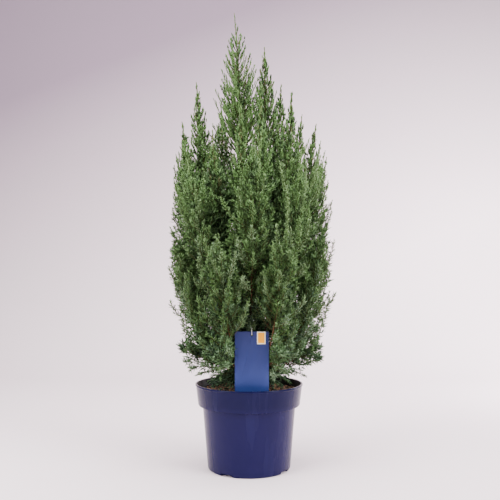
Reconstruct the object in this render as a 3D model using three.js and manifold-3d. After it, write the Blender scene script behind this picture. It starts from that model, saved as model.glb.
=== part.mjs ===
// Potted Stricta Chinese juniper: an upright, many-leadered young conifer in a blue nursery pot.
// Millimetres, +Z up. The origin is at the centre of the pot's flat underside, and the viewer stands at -Y.
// The trunk runs up through the crown and boughs rise round it. Each mass of foliage is a plume: one stem,
// twigs that leave it by a seeded rule, a spray of needles along each twig, and a smaller dense core.
import * as THREE from "three";
import { mergeVertices } from "three/addons/utils/BufferGeometryUtils.js";
import Module from "manifold-3d";

const wasm = await Module();
wasm.setup();

const GAP = 0.3;
const LIMB_CUT = 1.15 * GAP;
const STEM_CUT = 2 * GAP;
const WIDE_STEM_SIDES = 5;
const TURN = Math.PI * 2;
const DEGREE = Math.PI / 180;

// Pot, a 5 litre nursery container with a wide collar
const POT_HEIGHT = 177;
const RIM_RADIUS = 112.5;
const LIP_BEAD = 1.6;
const COLLAR_FOOT_RADIUS = 106.5;
const COLLAR_FOOT_HEIGHT = 131;
const COLLAR_CORNER = 8;
const BODY_TOP_RADIUS = 97;
const BODY_FOOT_RADIUS = 86.5;
const FOOT_CORNER = 4;
const FOOT_RING_WIDTH = 9;
const BASE_LIFT = 5;
const CENTRE_PAD_RADIUS = 26;
const WALL = 2;
const POT_SIDES = 30;
const DRAIN_NOTCHES = 4;
const NOTCH_WIDTH = 27;
const NOTCH_HEIGHT = 5.5;
const FIRST_NOTCH = 238 * DEGREE;

// Soil, a little under the rim
const SOIL_LEVEL = 163;

// Plant label: a bare printed card that stands in the soil, on a plastic loop
const CARD_WIDTH = 67;
const CARD_TOP = 292;
const CARD_SUNK = 12;
const CARD_THICKNESS = 0.8;
const CARD_X = 5.6;
const CARD_Y = -90;
const CARD_CORNER = 3;
const CARD_HOLE_RADIUS = 2.5;
const CARD_HOLE_DROP = 7;
const CARD_MARGIN = 5;
const TIE_RADIUS = 0.75;
const TIE_SIDES = 4;
const TIE_STEPS = 24;
const TIE_SLACK = 5;
const TIE_HEIGHT = 320;
const TIE_FRONT_BULGE = 0.7;
const TIE_TOP_BULGE = 0.2;
const TIE_FRONT_RISE = 0.45;
const TIE_BACK_RISE = 0.6;
const TIE_OVER_CARD = 3;

// Trunk
const TRUNK_FOOT_RADIUS = 9;
const TRUNK_TIP_RADIUS = 2.2;
const TRUNK_TIP_HEIGHT = 652;
const TRUNK_TIP_X = -18;
const TRUNK_TAPER = 0.8;
const TRUNK_SIDES = 10;
const TRUNK_STEPS = 11;
const TRUNK_STEP_GROWTH = 1.5;
const ROOT_FLARE = 6;
const ROOT_FLARE_RISE = 20;
const ROOT_LOBES = 5;
const ROOT_LOBE_DEPTH = 0.25;

// Boughs, whose roots climb the trunk one after the other. Each leaves it flat and swings up to the foot of
// its plume, which stands further in than the tip: how far out and up it turns are shares of its course.
const BOUGH_ROOT_RADIUS = 4.6;
const BOUGH_TIP_RADIUS = 2.3;
const BOUGH_SIDES = 4;
const BOUGH_STEPS = 5;
const LOWEST_BOUGH_ROOT = 252;
const BOUGH_ROOT_STEP = 14;
const BOUGH_INWARD = 0.27;
const BOUGH_RUN_OUT = 0.45;
const BOUGH_FIRST_RISE = 0.22;
const BOUGH_LAST_RISE = 0.3;
const BOUGH_OUTSWING = 0.25;

// Each leader that shows at the top of the crown: where its tip is, how far its twigs reach out from it,
// and how long its plume of foliage is.
const LEADERS = [
  { name: "crest", tip: [-31, 0, 951], reach: 64, plume: 299 },
  { name: "right_spire", tip: [33, 24, 888], reach: 40, plume: 240, inward: -0.1 },
  { name: "left_spire", tip: [-111, 4, 807], reach: 40, plume: 262 },
  { name: "back_right_spire", tip: [70, 58, 818], reach: 42, plume: 262 },
  { name: "front_right_spire", tip: [87, -42, 773], reach: 41, plume: 270 },
  { name: "right_shoulder", tip: [113, 22, 744], reach: 36, plume: 240 },
  { name: "far_right_shoulder", tip: [138, -30, 711], reach: 38, plume: 235 },
  { name: "far_left_shoulder", tip: [-137, -36, 714], reach: 38, plume: 245 },
  { name: "front_left_spire", tip: [-73, -74, 690], reach: 43, plume: 275 },
  { name: "front_spire", tip: [-17, -66, 740], reach: 41, plume: 270 },
  { name: "front_centre_spire", tip: [24, -64, 757], reach: 43, plume: 285 },
  { name: "back_left_spire", tip: [-62, 74, 782], reach: 44, plume: 275 },
  { name: "back_spire", tip: [8, 98, 722], reach: 44, plume: 270 },
  { name: "back_left_shoulder", tip: [-112, 72, 700], reach: 40, plume: 245 },
  { name: "back_right_shoulder", tip: [88, 104, 690], reach: 42, plume: 250 },
];

// The rings of plumes below them: the angle of the first, and the height where the stems leave the trunk.
// A base and a tip are a radius and a height.
const RINGS = [
  { name: "flank", count: 8, first: -90, foot: 228, base: [84, 350], tip: [158, 642], reach: 56, wander: 0.2 },
  { name: "low", count: 8, first: -66, foot: 206, base: [76, 234], tip: [168, 486], reach: 62, wander: 0.1 },
  { name: "skirt", count: 7, first: -64.3, foot: 184, base: [46, 206], tip: [152, 250], reach: 56, wander: 0.1 },
];
const RING_CENTRE_X = 3;
const RING_FOOT_STAGGER = 9;
const RING_TIP_SPREAD = 0.1;
const RING_TIP_LIFT = 0.09;

// Stem of a plume
const STEM_RADIUS = 1.9;
const STEM_TIP_RADIUS = 0.9;
const STEM_SIDES = 3;
const BARE_STEPS = 3;
const LEADER_FOLIAGE_START = 0.02;
const CREST_BEND = 0.55;
const PLUME_BEND = 0.4;

// Growth of a plume
const GOLDEN_ANGLE = 137.508 * DEGREE;
const SEED = 5.31;
const TWIGS_PER_MASS = 8;
const TWIG_CROWDING = 0.9;
const LOWEST_LEAN = 50 * DEGREE;
const TOP_LEAN = 20 * DEGREE;
const LAST_TWIG = 0.86;
const TWIG_RISE = 0.16;
const UPTURN = 0.12;
const MASS_TURN = 1.7;
const TURN_WANDER = 0.5;
const LEAN_WANDER = 0.2;
const LENGTH_WANDER = 0.24;
const LENGTHS_TRIED = [1, 0.8, 0.62];
const SHOULDER = 0.25;
const FOOT_SHARE = 0.62;
const LEADER_SHARPNESS = 0.75;
const RING_SHARPNESS = 0.6;
const TWIG_LEAST_REACH = 5;

// Dense core of a plume
const CORE_SHARE = 0.78;
const CORE_HOLLOW = 0.52;
const CORE_SIDES = 4;
const CORE_STEPS = 4;
const CORE_END = 0.8;
const CORE_FOOT = { share: 0.35, growth: 4 };
const CORE_TIP = { share: 0.3, growth: 3 };

// Sprays. Each whorl of needles reaches out at a share of the spray's length, from a slim core behind it.
const NEEDLE_REACH = 7.5;
const SPRAY_SIDES = 3;
const TWIG_WHORLS = [{ along: 0.68, under: 0.55, reach: 1, core: 0.4 }];
const LEADER_START = 0.84;
const LEADER_SUNK = 0.03;
const LEADER_WHORLS = [
  { along: 0.52, under: 0.42, reach: 1, core: 0.36 },
  { along: 0.8, under: 0.7, reach: 0.8, core: 0.26 },
];

// Room between plumes, limbs and label
const CROWN_FOOT = 181;
const PLUME_CLEARANCE = 40;
const STEM_ROOM = 4;
const TWIG_ROOM = 1;
const FAR = 1000;
const LIMB_POINTS = 24;
const AXIS_POINTS = 12;

const v3 = (x, y, z) => new THREE.Vector3(x, y, z);
const mix = THREE.MathUtils.lerp;
const polar = (radius, angle, z) => v3(radius * Math.cos(angle), radius * Math.sin(angle), z);

// A repeatable number from 0 to 1, from the mass's number, the twig's number and the use it is put to.
function chance(mass, twig, use) {
  const value = Math.sin(mass * 127.1 + twig * 311.7 + use * 74.7 + SEED) * 43758.5453;
  return value - Math.floor(value);
}

// A factor near 1 that varies by a whole amount from its least to its most
const varied = (amount, mass, twig, use) => 1 + amount * (chance(mass, twig, use) - 0.5);

// Solids
function solid(geometry, matrix = new THREE.Matrix4()) {
  const bare = geometry.clone().applyMatrix4(matrix);
  bare.deleteAttribute("normal");
  bare.deleteAttribute("uv");
  const merged = mergeVertices(bare, 1e-4);
  return new wasm.Manifold(
    new wasm.Mesh({
      numProp: 3,
      vertProperties: new Float32Array(merged.attributes.position.array),
      triVerts: new Uint32Array(merged.index.array),
    }),
  );
}

function largestBody(made) {
  return made.decompose().reduce((most, body) => (body.volume() > most.volume() ? body : most));
}

function node(name, made, material) {
  const mesh = made.getMesh();
  const geometry = new THREE.BufferGeometry();
  geometry.setAttribute("position", new THREE.BufferAttribute(new Float32Array(mesh.vertProperties), 3));
  geometry.setIndex(new THREE.BufferAttribute(new Uint32Array(mesh.triVerts), 1));
  geometry.computeVertexNormals();
  const part = new THREE.Mesh(geometry, material);
  part.name = name;
  return part;
}

const evenly = (steps) => Array.from({ length: steps + 1 }, (_, i) => i / steps);

// Rings of points round a curve at its stations, which are shares of its length, joined into a tube that is
// capped at both ends, or closed on itself as a loop
function tubeGeometry(curve, radiusAt, { sides, stations, loop = false }) {
  const steps = stations.length - 1;
  const rings = loop ? steps : steps + 1;
  const frames = loop ? curve.computeFrenetFrames(steps, true) : null;
  const positions = [];
  const faces = [];
  let normal = v3(1, 0.01, 0);
  for (let i = 0; i < rings; i++) {
    const t = stations[i];
    const centre = curve.getPointAt(t);
    const tangent = curve.getTangentAt(t);
    normal = loop ? frames.normals[i] : normal.clone().addScaledVector(tangent, -normal.dot(tangent)).normalize();
    const binormal = tangent.clone().cross(normal);
    for (let k = 0; k < sides; k++) {
      const angle = (TURN * k) / sides;
      const radius = radiusAt(t, angle);
      const point = centre
        .clone()
        .addScaledVector(normal, radius * Math.cos(angle))
        .addScaledVector(binormal, radius * Math.sin(angle));
      positions.push(point.x, point.y, point.z);
    }
  }
  for (let i = 0; i < steps; i++) {
    const ring = i * sides;
    const next = ((i + 1) % rings) * sides;
    for (let k = 0; k < sides; k++) {
      const beside = (k + 1) % sides;
      faces.push(ring + k, ring + beside, next + beside, ring + k, next + beside, next + k);
    }
  }
  const last = steps * sides;
  for (let k = 1; k < sides - 1 && !loop; k++) {
    faces.push(0, k + 1, k, last, last + k, last + k + 1);
  }
  const geometry = new THREE.BufferGeometry();
  geometry.setAttribute("position", new THREE.Float32BufferAttribute(positions, 3));
  geometry.setIndex(faces);
  return geometry;
}

// A stretch of another curve, as a curve of its own
class CurveStretch extends THREE.Curve {
  constructor(whole, start, end) {
    super();
    this.whole = whole;
    this.start = start;
    this.end = end;
  }
  getPoint(t, target = new THREE.Vector3()) {
    return this.whole.getPointAt(mix(this.start, this.end, t), target);
  }
}

// Materials
const finish = (colour, roughness) => new THREE.MeshStandardMaterial({ color: colour, roughness, metalness: 0 });
const POT_PLASTIC = finish(0x3c3e67, 0.35);
const SOIL_MULCH = finish(0x4a3328, 0.95);
const CARD_PRINT = finish(0x3e5690, 0.4);
const TIE_PLASTIC = finish(0xe6e6e2, 0.45);
const BARK = finish(0x6b4a38, 0.9);
const NEEDLES = finish(0x5a6b46, 0.65);

// The pot is a thin shell of revolution: centre pad, foot ring, tapering body, wide collar, beaded lip.
function potProfile() {
  const outline = new THREE.Path();
  const footInside = BODY_FOOT_RADIUS - FOOT_RING_WIDTH;
  const lipInside = RIM_RADIUS - LIP_BEAD - WALL;
  outline.moveTo(0, 0);
  outline.lineTo(CENTRE_PAD_RADIUS, 0);
  outline.lineTo(CENTRE_PAD_RADIUS + BASE_LIFT / 2, BASE_LIFT);
  outline.lineTo(footInside, BASE_LIFT);
  outline.lineTo(footInside, 0);
  outline.lineTo(BODY_FOOT_RADIUS - FOOT_CORNER, 0);
  outline.lineTo(BODY_FOOT_RADIUS, FOOT_CORNER);
  outline.lineTo(BODY_TOP_RADIUS, COLLAR_FOOT_HEIGHT);
  outline.lineTo(COLLAR_FOOT_RADIUS - COLLAR_CORNER / 2, COLLAR_FOOT_HEIGHT + 1);
  outline.lineTo(COLLAR_FOOT_RADIUS, COLLAR_FOOT_HEIGHT + COLLAR_CORNER / 2);
  outline.lineTo(RIM_RADIUS - LIP_BEAD, POT_HEIGHT - 3 * LIP_BEAD);
  outline.lineTo(RIM_RADIUS, POT_HEIGHT - LIP_BEAD);
  outline.lineTo(RIM_RADIUS - LIP_BEAD / 2, POT_HEIGHT);
  outline.lineTo(lipInside, POT_HEIGHT);
  for (const [radius, height] of potInside().reverse()) outline.lineTo(radius, height);
  outline.lineTo(0, BASE_LIFT + WALL);
  return outline.getPoints(1);
}

// The inside of the pot's wall, as radii and heights from the floor of the pot up
function potInside() {
  return [
    [BODY_FOOT_RADIUS - WALL, BASE_LIFT + WALL],
    [BODY_TOP_RADIUS - WALL, COLLAR_FOOT_HEIGHT + WALL + 1],
    [COLLAR_FOOT_RADIUS - WALL, COLLAR_FOOT_HEIGHT + COLLAR_CORNER],
  ];
}

function makePot() {
  let pot = solid(new THREE.LatheGeometry(potProfile(), POT_SIDES), new THREE.Matrix4().makeRotationX(Math.PI / 2));
  for (let i = 0; i < DRAIN_NOTCHES; i++) {
    const notch = new THREE.BoxGeometry(FOOT_RING_WIDTH * 3, NOTCH_WIDTH, NOTCH_HEIGHT * 2);
    const place = new THREE.Matrix4()
      .makeRotationZ(FIRST_NOTCH + (TURN * i) / DRAIN_NOTCHES)
      .multiply(new THREE.Matrix4().makeTranslation(BODY_FOOT_RADIUS + FOOT_RING_WIDTH / 2, 0, 0));
    pot = pot.subtract(solid(notch, place));
  }
  return pot;
}

// The soil fills the pot from wall to wall. A slot in it takes the foot of the card.
function makeSoil() {
  const inside = potInside();
  const [ledgeRadius, ledgeHeight] = inside.at(-1);
  const spread = (RIM_RADIUS - LIP_BEAD - WALL - ledgeRadius) / (POT_HEIGHT - ledgeHeight);
  const profile = inside.map(([radius, height]) => new THREE.Vector2(radius - GAP, height + GAP));
  profile.unshift(new THREE.Vector2(0, profile[0].y));
  profile.push(new THREE.Vector2(ledgeRadius + spread * (SOIL_LEVEL - ledgeHeight) - GAP, SOIL_LEVEL));
  profile.push(new THREE.Vector2(0, SOIL_LEVEL));
  const soil = solid(new THREE.LatheGeometry(profile, POT_SIDES), new THREE.Matrix4().makeRotationX(Math.PI / 2));
  const slot = new THREE.BoxGeometry(CARD_WIDTH + 2 * GAP, CARD_THICKNESS + 2 * GAP, 2 * (CARD_SUNK + GAP));
  return soil.subtract(solid(slot, new THREE.Matrix4().makeTranslation(CARD_X, CARD_Y, SOIL_LEVEL)));
}

// The card, with its middle at the origin and its foot below it
function makeCard() {
  const outline = new THREE.Shape();
  const half = CARD_WIDTH / 2;
  const foot = SOIL_LEVEL - CARD_SUNK;
  outline.moveTo(-half, foot);
  outline.lineTo(half, foot);
  outline.absarc(half - CARD_CORNER, CARD_TOP - CARD_CORNER, CARD_CORNER, 0, Math.PI / 2);
  outline.absarc(-half + CARD_CORNER, CARD_TOP - CARD_CORNER, CARD_CORNER, Math.PI / 2, Math.PI);
  const hole = new THREE.Path();
  hole.absarc(0, CARD_TOP - CARD_HOLE_DROP, CARD_HOLE_RADIUS, 0, TURN);
  outline.holes.push(hole);
  const card = new THREE.ExtrudeGeometry(outline, { depth: CARD_THICKNESS, bevelEnabled: false, curveSegments: 4 });
  card.rotateX(Math.PI / 2);
  card.translate(0, CARD_THICKNESS / 2, 0);
  return solid(card);
}

// The tie goes through the card's hole, in front of the card and behind it, and round the stem that it hangs on.
function tieCurve(stem) {
  let held = stem.getPointAt(0);
  for (let t = 0; held.z < TIE_HEIGHT; t += 0.005) held = stem.getPointAt(t);
  const hole = v3(CARD_X, CARD_Y, CARD_TOP - CARD_HOLE_DROP);
  const away = held.clone().sub(hole).normalize();
  const across = v3(1, 0, 0);
  const clearTop = CARD_TOP + 2 * TIE_RADIUS;
  return new THREE.CatmullRomCurve3(
    [
      hole,
      v3(hole.x, CARD_Y - TIE_SLACK * TIE_FRONT_BULGE, mix(hole.z, clearTop, TIE_FRONT_RISE)),
      v3(hole.x - 1, CARD_Y - TIE_SLACK * TIE_TOP_BULGE, clearTop + TIE_OVER_CARD),
      held.clone().addScaledVector(across, -TIE_SLACK).addScaledVector(away, -TIE_SLACK),
      held.clone().addScaledVector(away, TIE_SLACK),
      held.clone().addScaledVector(across, TIE_SLACK).addScaledVector(away, -TIE_SLACK),
      v3(hole.x, CARD_Y + TIE_SLACK, mix(hole.z, clearTop, TIE_BACK_RISE)),
    ],
    true,
  );
}

// The trunk leaves the soil upright, from a flat cut, and leans a little to the left as it rises.
const trunkCurve = new THREE.QuadraticBezierCurve3(
  v3(0, 0, SOIL_LEVEL),
  v3(0, 0, (SOIL_LEVEL + TRUNK_TIP_HEIGHT) / 2),
  v3(TRUNK_TIP_X, 0, TRUNK_TIP_HEIGHT),
);

function trunkRadius(t, angle) {
  const taper = mix(TRUNK_FOOT_RADIUS, TRUNK_TIP_RADIUS, Math.pow(t, TRUNK_TAPER));
  const rise = t * (TRUNK_TIP_HEIGHT - SOIL_LEVEL);
  const flare = ROOT_FLARE * Math.exp(-rise / ROOT_FLARE_RISE);
  return taper + flare * (1 - ROOT_LOBE_DEPTH + ROOT_LOBE_DEPTH * Math.cos(ROOT_LOBES * angle));
}

// The trunk's centre at a height
const trunkAt = (z) => trunkCurve.getPoint((z - SOIL_LEVEL) / (TRUNK_TIP_HEIGHT - SOIL_LEVEL));

// A plume's half width at a share of its height: widest at its shoulder, drawn to a point at its tip
function plumeWidth(u, sharpness) {
  if (u < SHOULDER) return mix(FOOT_SHARE, 1, Math.sin((Math.PI / 2) * (u / SHOULDER)));
  return Math.pow((1 - u) / (1 - SHOULDER), sharpness);
}

// Limbs, plumes, and the slim round things that twigs keep clear of
const limbs = [];
const masses = [];
const obstacles = [];

function addObstacle(name, curve, radiusAt, from, to) {
  for (const share of evenly(LIMB_POINTS)) {
    const t = mix(from, to, share);
    obstacles.push({ name, point: curve.getPointAt(t), radius: radiusAt(t, 0) });
  }
}

function addLimb(name, curve, radiusAt, shape) {
  limbs.push({ name, curve, radiusAt, shape });
  addObstacle(name, curve, radiusAt, 0, 1);
}

const boughRadius = (t) => mix(BOUGH_ROOT_RADIUS, BOUGH_TIP_RADIUS, t);
const stemRadius = (t) => mix(STEM_RADIUS, STEM_TIP_RADIUS, t);

// A mass of foliage: its stem, where on that stem its foliage begins, how far its twigs reach, and how sharply
// its plume is drawn to its tip.
function addMass(name, stem, foliageStart, reach, sharpness) {
  const axis = [];
  for (const u of evenly(AXIS_POINTS)) {
    const point = stem.getPointAt(mix(foliageStart, 1, u));
    axis.push({ point, width: reach * plumeWidth(u, sharpness) + NEEDLE_REACH });
  }
  addObstacle(name, stem, stemRadius, 0, foliageStart);
  masses.push({ name, stem, foliageStart, reach, sharpness, axis, index: masses.length });
}

function layOutLeaders() {
  const upward = LEADERS.slice(1).sort((a, b) => a.tip[2] - b.tip[2]);
  for (const { name, tip: [x, y, z], reach, plume, inward = BOUGH_INWARD } of LEADERS) {
    const tip = v3(x, y, z);
    if (name === "crest") {
      const foot = trunkCurve.getPoint(1).addScaledVector(trunkCurve.getTangent(1), 1.5 * GAP);
      const bend = foot.clone().setZ(mix(foot.z, z, CREST_BEND));
      const stem = new THREE.QuadraticBezierCurve3(foot, bend, tip);
      addMass("crest_foliage", stem, LEADER_FOLIAGE_START, reach, LEADER_SHARPNESS);
      continue;
    }
    const order = upward.findIndex((leader) => leader.name === name);
    const root = trunkAt(LOWEST_BOUGH_ROOT + BOUGH_ROOT_STEP * order);
    const base = v3(x * (1 - inward), y * (1 - inward), z - plume);
    const rise = base.z - root.z;
    const bough = new THREE.CubicBezierCurve3(
      root,
      root.clone().lerp(base, BOUGH_RUN_OUT).setZ(root.z + rise * BOUGH_FIRST_RISE),
      base.clone().lerp(tip, -BOUGH_OUTSWING).setZ(base.z - rise * BOUGH_LAST_RISE),
      base,
    );
    addLimb(name + "_bough", bough, boughRadius, { sides: BOUGH_SIDES, stations: evenly(BOUGH_STEPS) });
    const heading = bough.getTangentAt(1);
    const foot = base.clone().addScaledVector(heading, GAP);
    const bend = foot.clone().addScaledVector(heading, plume * PLUME_BEND);
    const stem = new THREE.QuadraticBezierCurve3(foot, bend, tip);
    addMass(name + "_foliage", stem, LEADER_FOLIAGE_START, reach, LEADER_SHARPNESS);
  }
}

function layOutRings() {
  for (const ring of RINGS) {
    for (let i = 0; i < ring.count; i++) {
      const number = masses.length;
      const wander = ring.wander * (chance(number, 0, 1) - 0.5);
      const angle = ring.first * DEGREE + (TURN * (i + wander)) / ring.count;
      const spread = varied(RING_TIP_SPREAD, number, 0, 2);
      const lift = varied(RING_TIP_LIFT, number, 0, 3);
      const foot = trunkAt(ring.foot + (i % 2) * RING_FOOT_STAGGER);
      const centre = v3(RING_CENTRE_X, 0, 0);
      const base = polar(ring.base[0], angle, ring.base[1]).add(centre);
      const tip = polar(ring.tip[0] * spread, angle, ring.tip[1] * lift).add(centre);
      const bare = foot.distanceTo(base);
      const stem = new THREE.CatmullRomCurve3([foot, base, tip]);
      const start = bare / (bare + base.distanceTo(tip));
      addMass(ring.name + "_foliage_" + (i + 1), stem, start, ring.reach, RING_SHARPNESS);
    }
  }
}

// The flat boundary between two plumes, set between their axes where they crowd each other most, out of
// the places where it parts the axes whole.
function boundary(mass, other) {
  let best = null;
  let tightest = Infinity;
  for (const a of mass.axis) {
    for (const b of other.axis) {
      const apart = a.point.distanceTo(b.point) - a.width - b.width;
      tightest = Math.min(tightest, apart);
      const outward = b.point.clone().sub(a.point);
      const middle = a.point.clone().addScaledVector(outward, a.width / (a.width + b.width));
      outward.normalize();
      const reach = outward.dot(middle);
      const nearest = Math.min(
        ...mass.axis.map(({ point }) => reach - outward.dot(point)),
        ...other.axis.map(({ point }) => outward.dot(point) - reach),
      );
      const worth = nearest > STEM_ROOM ? FAR - apart : nearest;
      if (!best || worth > best.worth) best = { worth, outward, reach: reach - GAP };
    }
  }
  return tightest > PLUME_CLEARANCE ? null : best;
}

// A mass's own space: its boundaries with the others, and the level above the pot that foliage keeps to
function spaceOf(mass) {
  const planes = masses.filter((other) => other !== mass).map((other) => boundary(mass, other));
  planes.push({ outward: v3(0, 0, -1), reach: -CROWN_FOOT });
  return planes.filter(Boolean);
}

const isInside = (point, space) => space.every((plane) => plane.outward.dot(point) < plane.reach);

// The label's own room: the card and everything before it
const cardRoom = solid(
  new THREE.BoxGeometry(CARD_WIDTH + 2 * CARD_MARGIN, 2 * RIM_RADIUS, CARD_TOP + CARD_MARGIN),
  new THREE.Matrix4().makeTranslation(CARD_X, CARD_Y + CARD_MARGIN - RIM_RADIUS, (CARD_TOP + CARD_MARGIN) / 2),
);

// Whether a straight twig of a given thickness stays clear of every limb and bare stem but its own
function isClear(from, to, thickness, name) {
  const line = new THREE.Line3(from, to);
  const nearest = new THREE.Vector3();
  return obstacles.every((obstacle) => {
    if (obstacle.name === name) return true;
    line.closestPointToPoint(obstacle.point, true, nearest);
    return nearest.distanceTo(obstacle.point) > obstacle.radius + thickness + TWIG_ROOM;
  });
}

// A spray of needles: a slim three-sided core, and whorls of needles that stand forward from it
function sprayGeometry(from, to, whorls, turn) {
  const length = from.distanceTo(to);
  const profile = [new THREE.Vector2(0, 0)];
  for (const whorl of whorls) {
    profile.push(new THREE.Vector2(whorl.reach * NEEDLE_REACH, whorl.along * length));
    profile.push(new THREE.Vector2(whorl.core * NEEDLE_REACH, whorl.under * length));
  }
  profile.push(new THREE.Vector2(0, length));
  const up = v3(0, 1, 0);
  const heading = new THREE.Quaternion().setFromUnitVectors(up, to.clone().sub(from).normalize());
  const roll = new THREE.Quaternion().setFromAxisAngle(up, turn);
  const place = new THREE.Matrix4().compose(from, heading.multiply(roll), v3(1, 1, 1));
  return new THREE.LatheGeometry(profile, SPRAY_SIDES).applyMatrix4(place);
}

// The seeded rule: twigs leave the stem at golden-angle turns, spreading at its foot and close at its tip.
function twigOf(mass, i) {
  const u = LAST_TWIG * Math.pow((i + 0.5) / TWIGS_PER_MASS, TWIG_CROWDING);
  const t = mix(mass.foliageStart, 1, u);
  const heading = mass.stem.getTangentAt(t);
  const turn = GOLDEN_ANGLE * i + MASS_TURN * mass.index + TURN_WANDER * (chance(mass.index, i, 4) - 0.5);
  const side = heading.clone().cross(v3(0, 1, 0.02)).normalize().applyAxisAngle(heading, turn);
  const lean = mix(LOWEST_LEAN, TOP_LEAN, u) * varied(LEAN_WANDER, mass.index, i, 5);
  const share = plumeWidth(Math.min(1, u + TWIG_RISE), mass.sharpness) * varied(LENGTH_WANDER, mass.index, i, 6);
  const width = Math.max(TWIG_LEAST_REACH, mass.reach * share);
  const direction = heading.clone().multiplyScalar(Math.cos(lean)).addScaledVector(side, Math.sin(lean));
  direction.add(v3(0, 0, UPTURN)).normalize();
  return { root: mass.stem.getPointAt(t), direction, length: width / Math.sin(lean), turn };
}

// The shares of a stem's length where its bare part is joined, for a long bare part and a short one
const bareStations = ({ foliageStart }) =>
  evenly(foliageStart > LEADER_FOLIAGE_START ? BARE_STEPS : 1).map((t) => t * foliageStart);

// The longest spray that this twig has room for, or none
function spraySolid(mass, space, { root, direction, length, turn }) {
  for (const share of LENGTHS_TRIED) {
    const tip = root.clone().addScaledVector(direction, length * share);
    const geometry = sprayGeometry(root, tip, TWIG_WHORLS, turn);
    const points = new Float32Array(geometry.getAttribute("position").array);
    const kept = Array.from({ length: points.length / 3 }, (_, i) => v3(...points.slice(3 * i, 3 * i + 3)));
    if (!kept.every((point) => isInside(point, space))) continue;
    if (!isClear(root, tip, NEEDLE_REACH, mass.name)) continue;
    const spray = solid(geometry);
    if (spray.intersect(cardRoom).isEmpty()) return spray;
  }
  return null;
}

// The smaller dense core of a plume, with every other corner drawn out to a point like the shoots that
// crowd it, cut flat at the plume's boundaries
function coreSolid(mass, space) {
  const stretch = new CurveStretch(mass.stem, mass.foliageStart, mix(mass.foliageStart, 1, CORE_END));
  const radiusAt = (t, angle) => {
    const corner = Math.round(t * CORE_STEPS) + Math.round((angle / TURN) * CORE_SIDES);
    const ends = Math.min(1, CORE_FOOT.share + CORE_FOOT.growth * t, CORE_TIP.share + CORE_TIP.growth * (1 - t));
    const width = mass.reach * CORE_SHARE * plumeWidth(t * CORE_END, mass.sharpness);
    return width * (corner % 2 ? 1 : CORE_HOLLOW) * ends;
  };
  let core = solid(tubeGeometry(stretch, radiusAt, { sides: CORE_SIDES, stations: evenly(CORE_STEPS) }));
  for (const { outward, reach } of space) {
    core = core.trimByPlane(outward.clone().negate().toArray(), -reach);
  }
  return core.subtract(cardRoom);
}

function makeMass(mass, hindrances) {
  const space = spaceOf(mass);
  const stemEnd = mix(mass.foliageStart, 1, LEADER_START);
  const stations = [...bareStations(mass), mix(mass.foliageStart, stemEnd, 0.5), stemEnd];
  const stem = solid(tubeGeometry(mass.stem, stemRadius, { sides: STEM_SIDES, stations }));
  const leaderRoot = mass.stem.getPointAt(stemEnd - LEADER_SUNK);
  const leader = solid(sprayGeometry(leaderRoot, mass.stem.getPointAt(1), LEADER_WHORLS, 0));
  let foliage = coreSolid(mass, space);
  for (const hindrance of hindrances) {
    if (hindrance.name !== mass.name) foliage = foliage.subtract(hindrance.wide);
  }
  const sprays = Array.from({ length: TWIGS_PER_MASS }, (_, i) => spraySolid(mass, space, twigOf(mass, i)));
  let made = wasm.Manifold.union([stem, leader, foliage, ...sprays.filter(Boolean)]);
  for (const { wide } of hindrances.filter(({ isLimb }) => isLimb)) made = made.subtract(wide);
  return largestBody(made);
}

// A limb, or the bare part of a plume's stem, as a solid a little wider than it is where others are cut clear
const limbSolid = (limb, extra) =>
  solid(tubeGeometry(limb.curve, (t, angle) => limb.radiusAt(t, angle) + extra, limb.shape));

function wideStemSolid(mass) {
  const shape = { sides: WIDE_STEM_SIDES, stations: bareStations(mass) };
  return solid(tubeGeometry(mass.stem, (t) => stemRadius(t) + STEM_CUT, shape));
}

// Assembly
const plant = new THREE.Group();
plant.add(node("pot", makePot(), POT_PLASTIC));
plant.add(node("soil", makeSoil(), SOIL_MULCH));

const card = node("label_card", makeCard(), CARD_PRINT);
card.position.set(CARD_X, CARD_Y, 0);
plant.add(card);

const trunkStations = evenly(TRUNK_STEPS).map((t) => Math.pow(t, TRUNK_STEP_GROWTH));
addLimb("trunk", trunkCurve, trunkRadius, { sides: TRUNK_SIDES, stations: trunkStations });
layOutLeaders();
layOutRings();

const tie = tieCurve(masses.find((mass) => mass.name === "flank_foliage_1").stem);
const tieRadius = () => TIE_RADIUS;
addObstacle("label_tie", tie, tieRadius, 0, 1);
const tieShape = { sides: TIE_SIDES, stations: evenly(TIE_STEPS), loop: true };
plant.add(node("label_tie", solid(tubeGeometry(tie, tieRadius, tieShape)), TIE_PLASTIC));

const hindrances = [
  ...limbs.map((limb) => ({ name: limb.name, isLimb: true, wide: limbSolid(limb, LIMB_CUT) })),
  ...masses.map((mass) => ({ name: mass.name, isLimb: false, wide: wideStemSolid(mass) })),
];
const crown = new THREE.Group();
for (const limb of limbs) {
  const own = limbSolid(limb, 0);
  const shape = limb.name === "trunk" ? own.trimByPlane([0, 0, 1], SOIL_LEVEL) : own.subtract(hindrances[0].wide);
  crown.add(node(limb.name, largestBody(shape), BARK));
}
for (const mass of masses) {
  crown.add(node(mass.name, makeMass(mass, hindrances), NEEDLES));
}
plant.add(crown);

export default plant;
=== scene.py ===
import math

import bpy
import numpy as np
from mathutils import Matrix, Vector, noise


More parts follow.
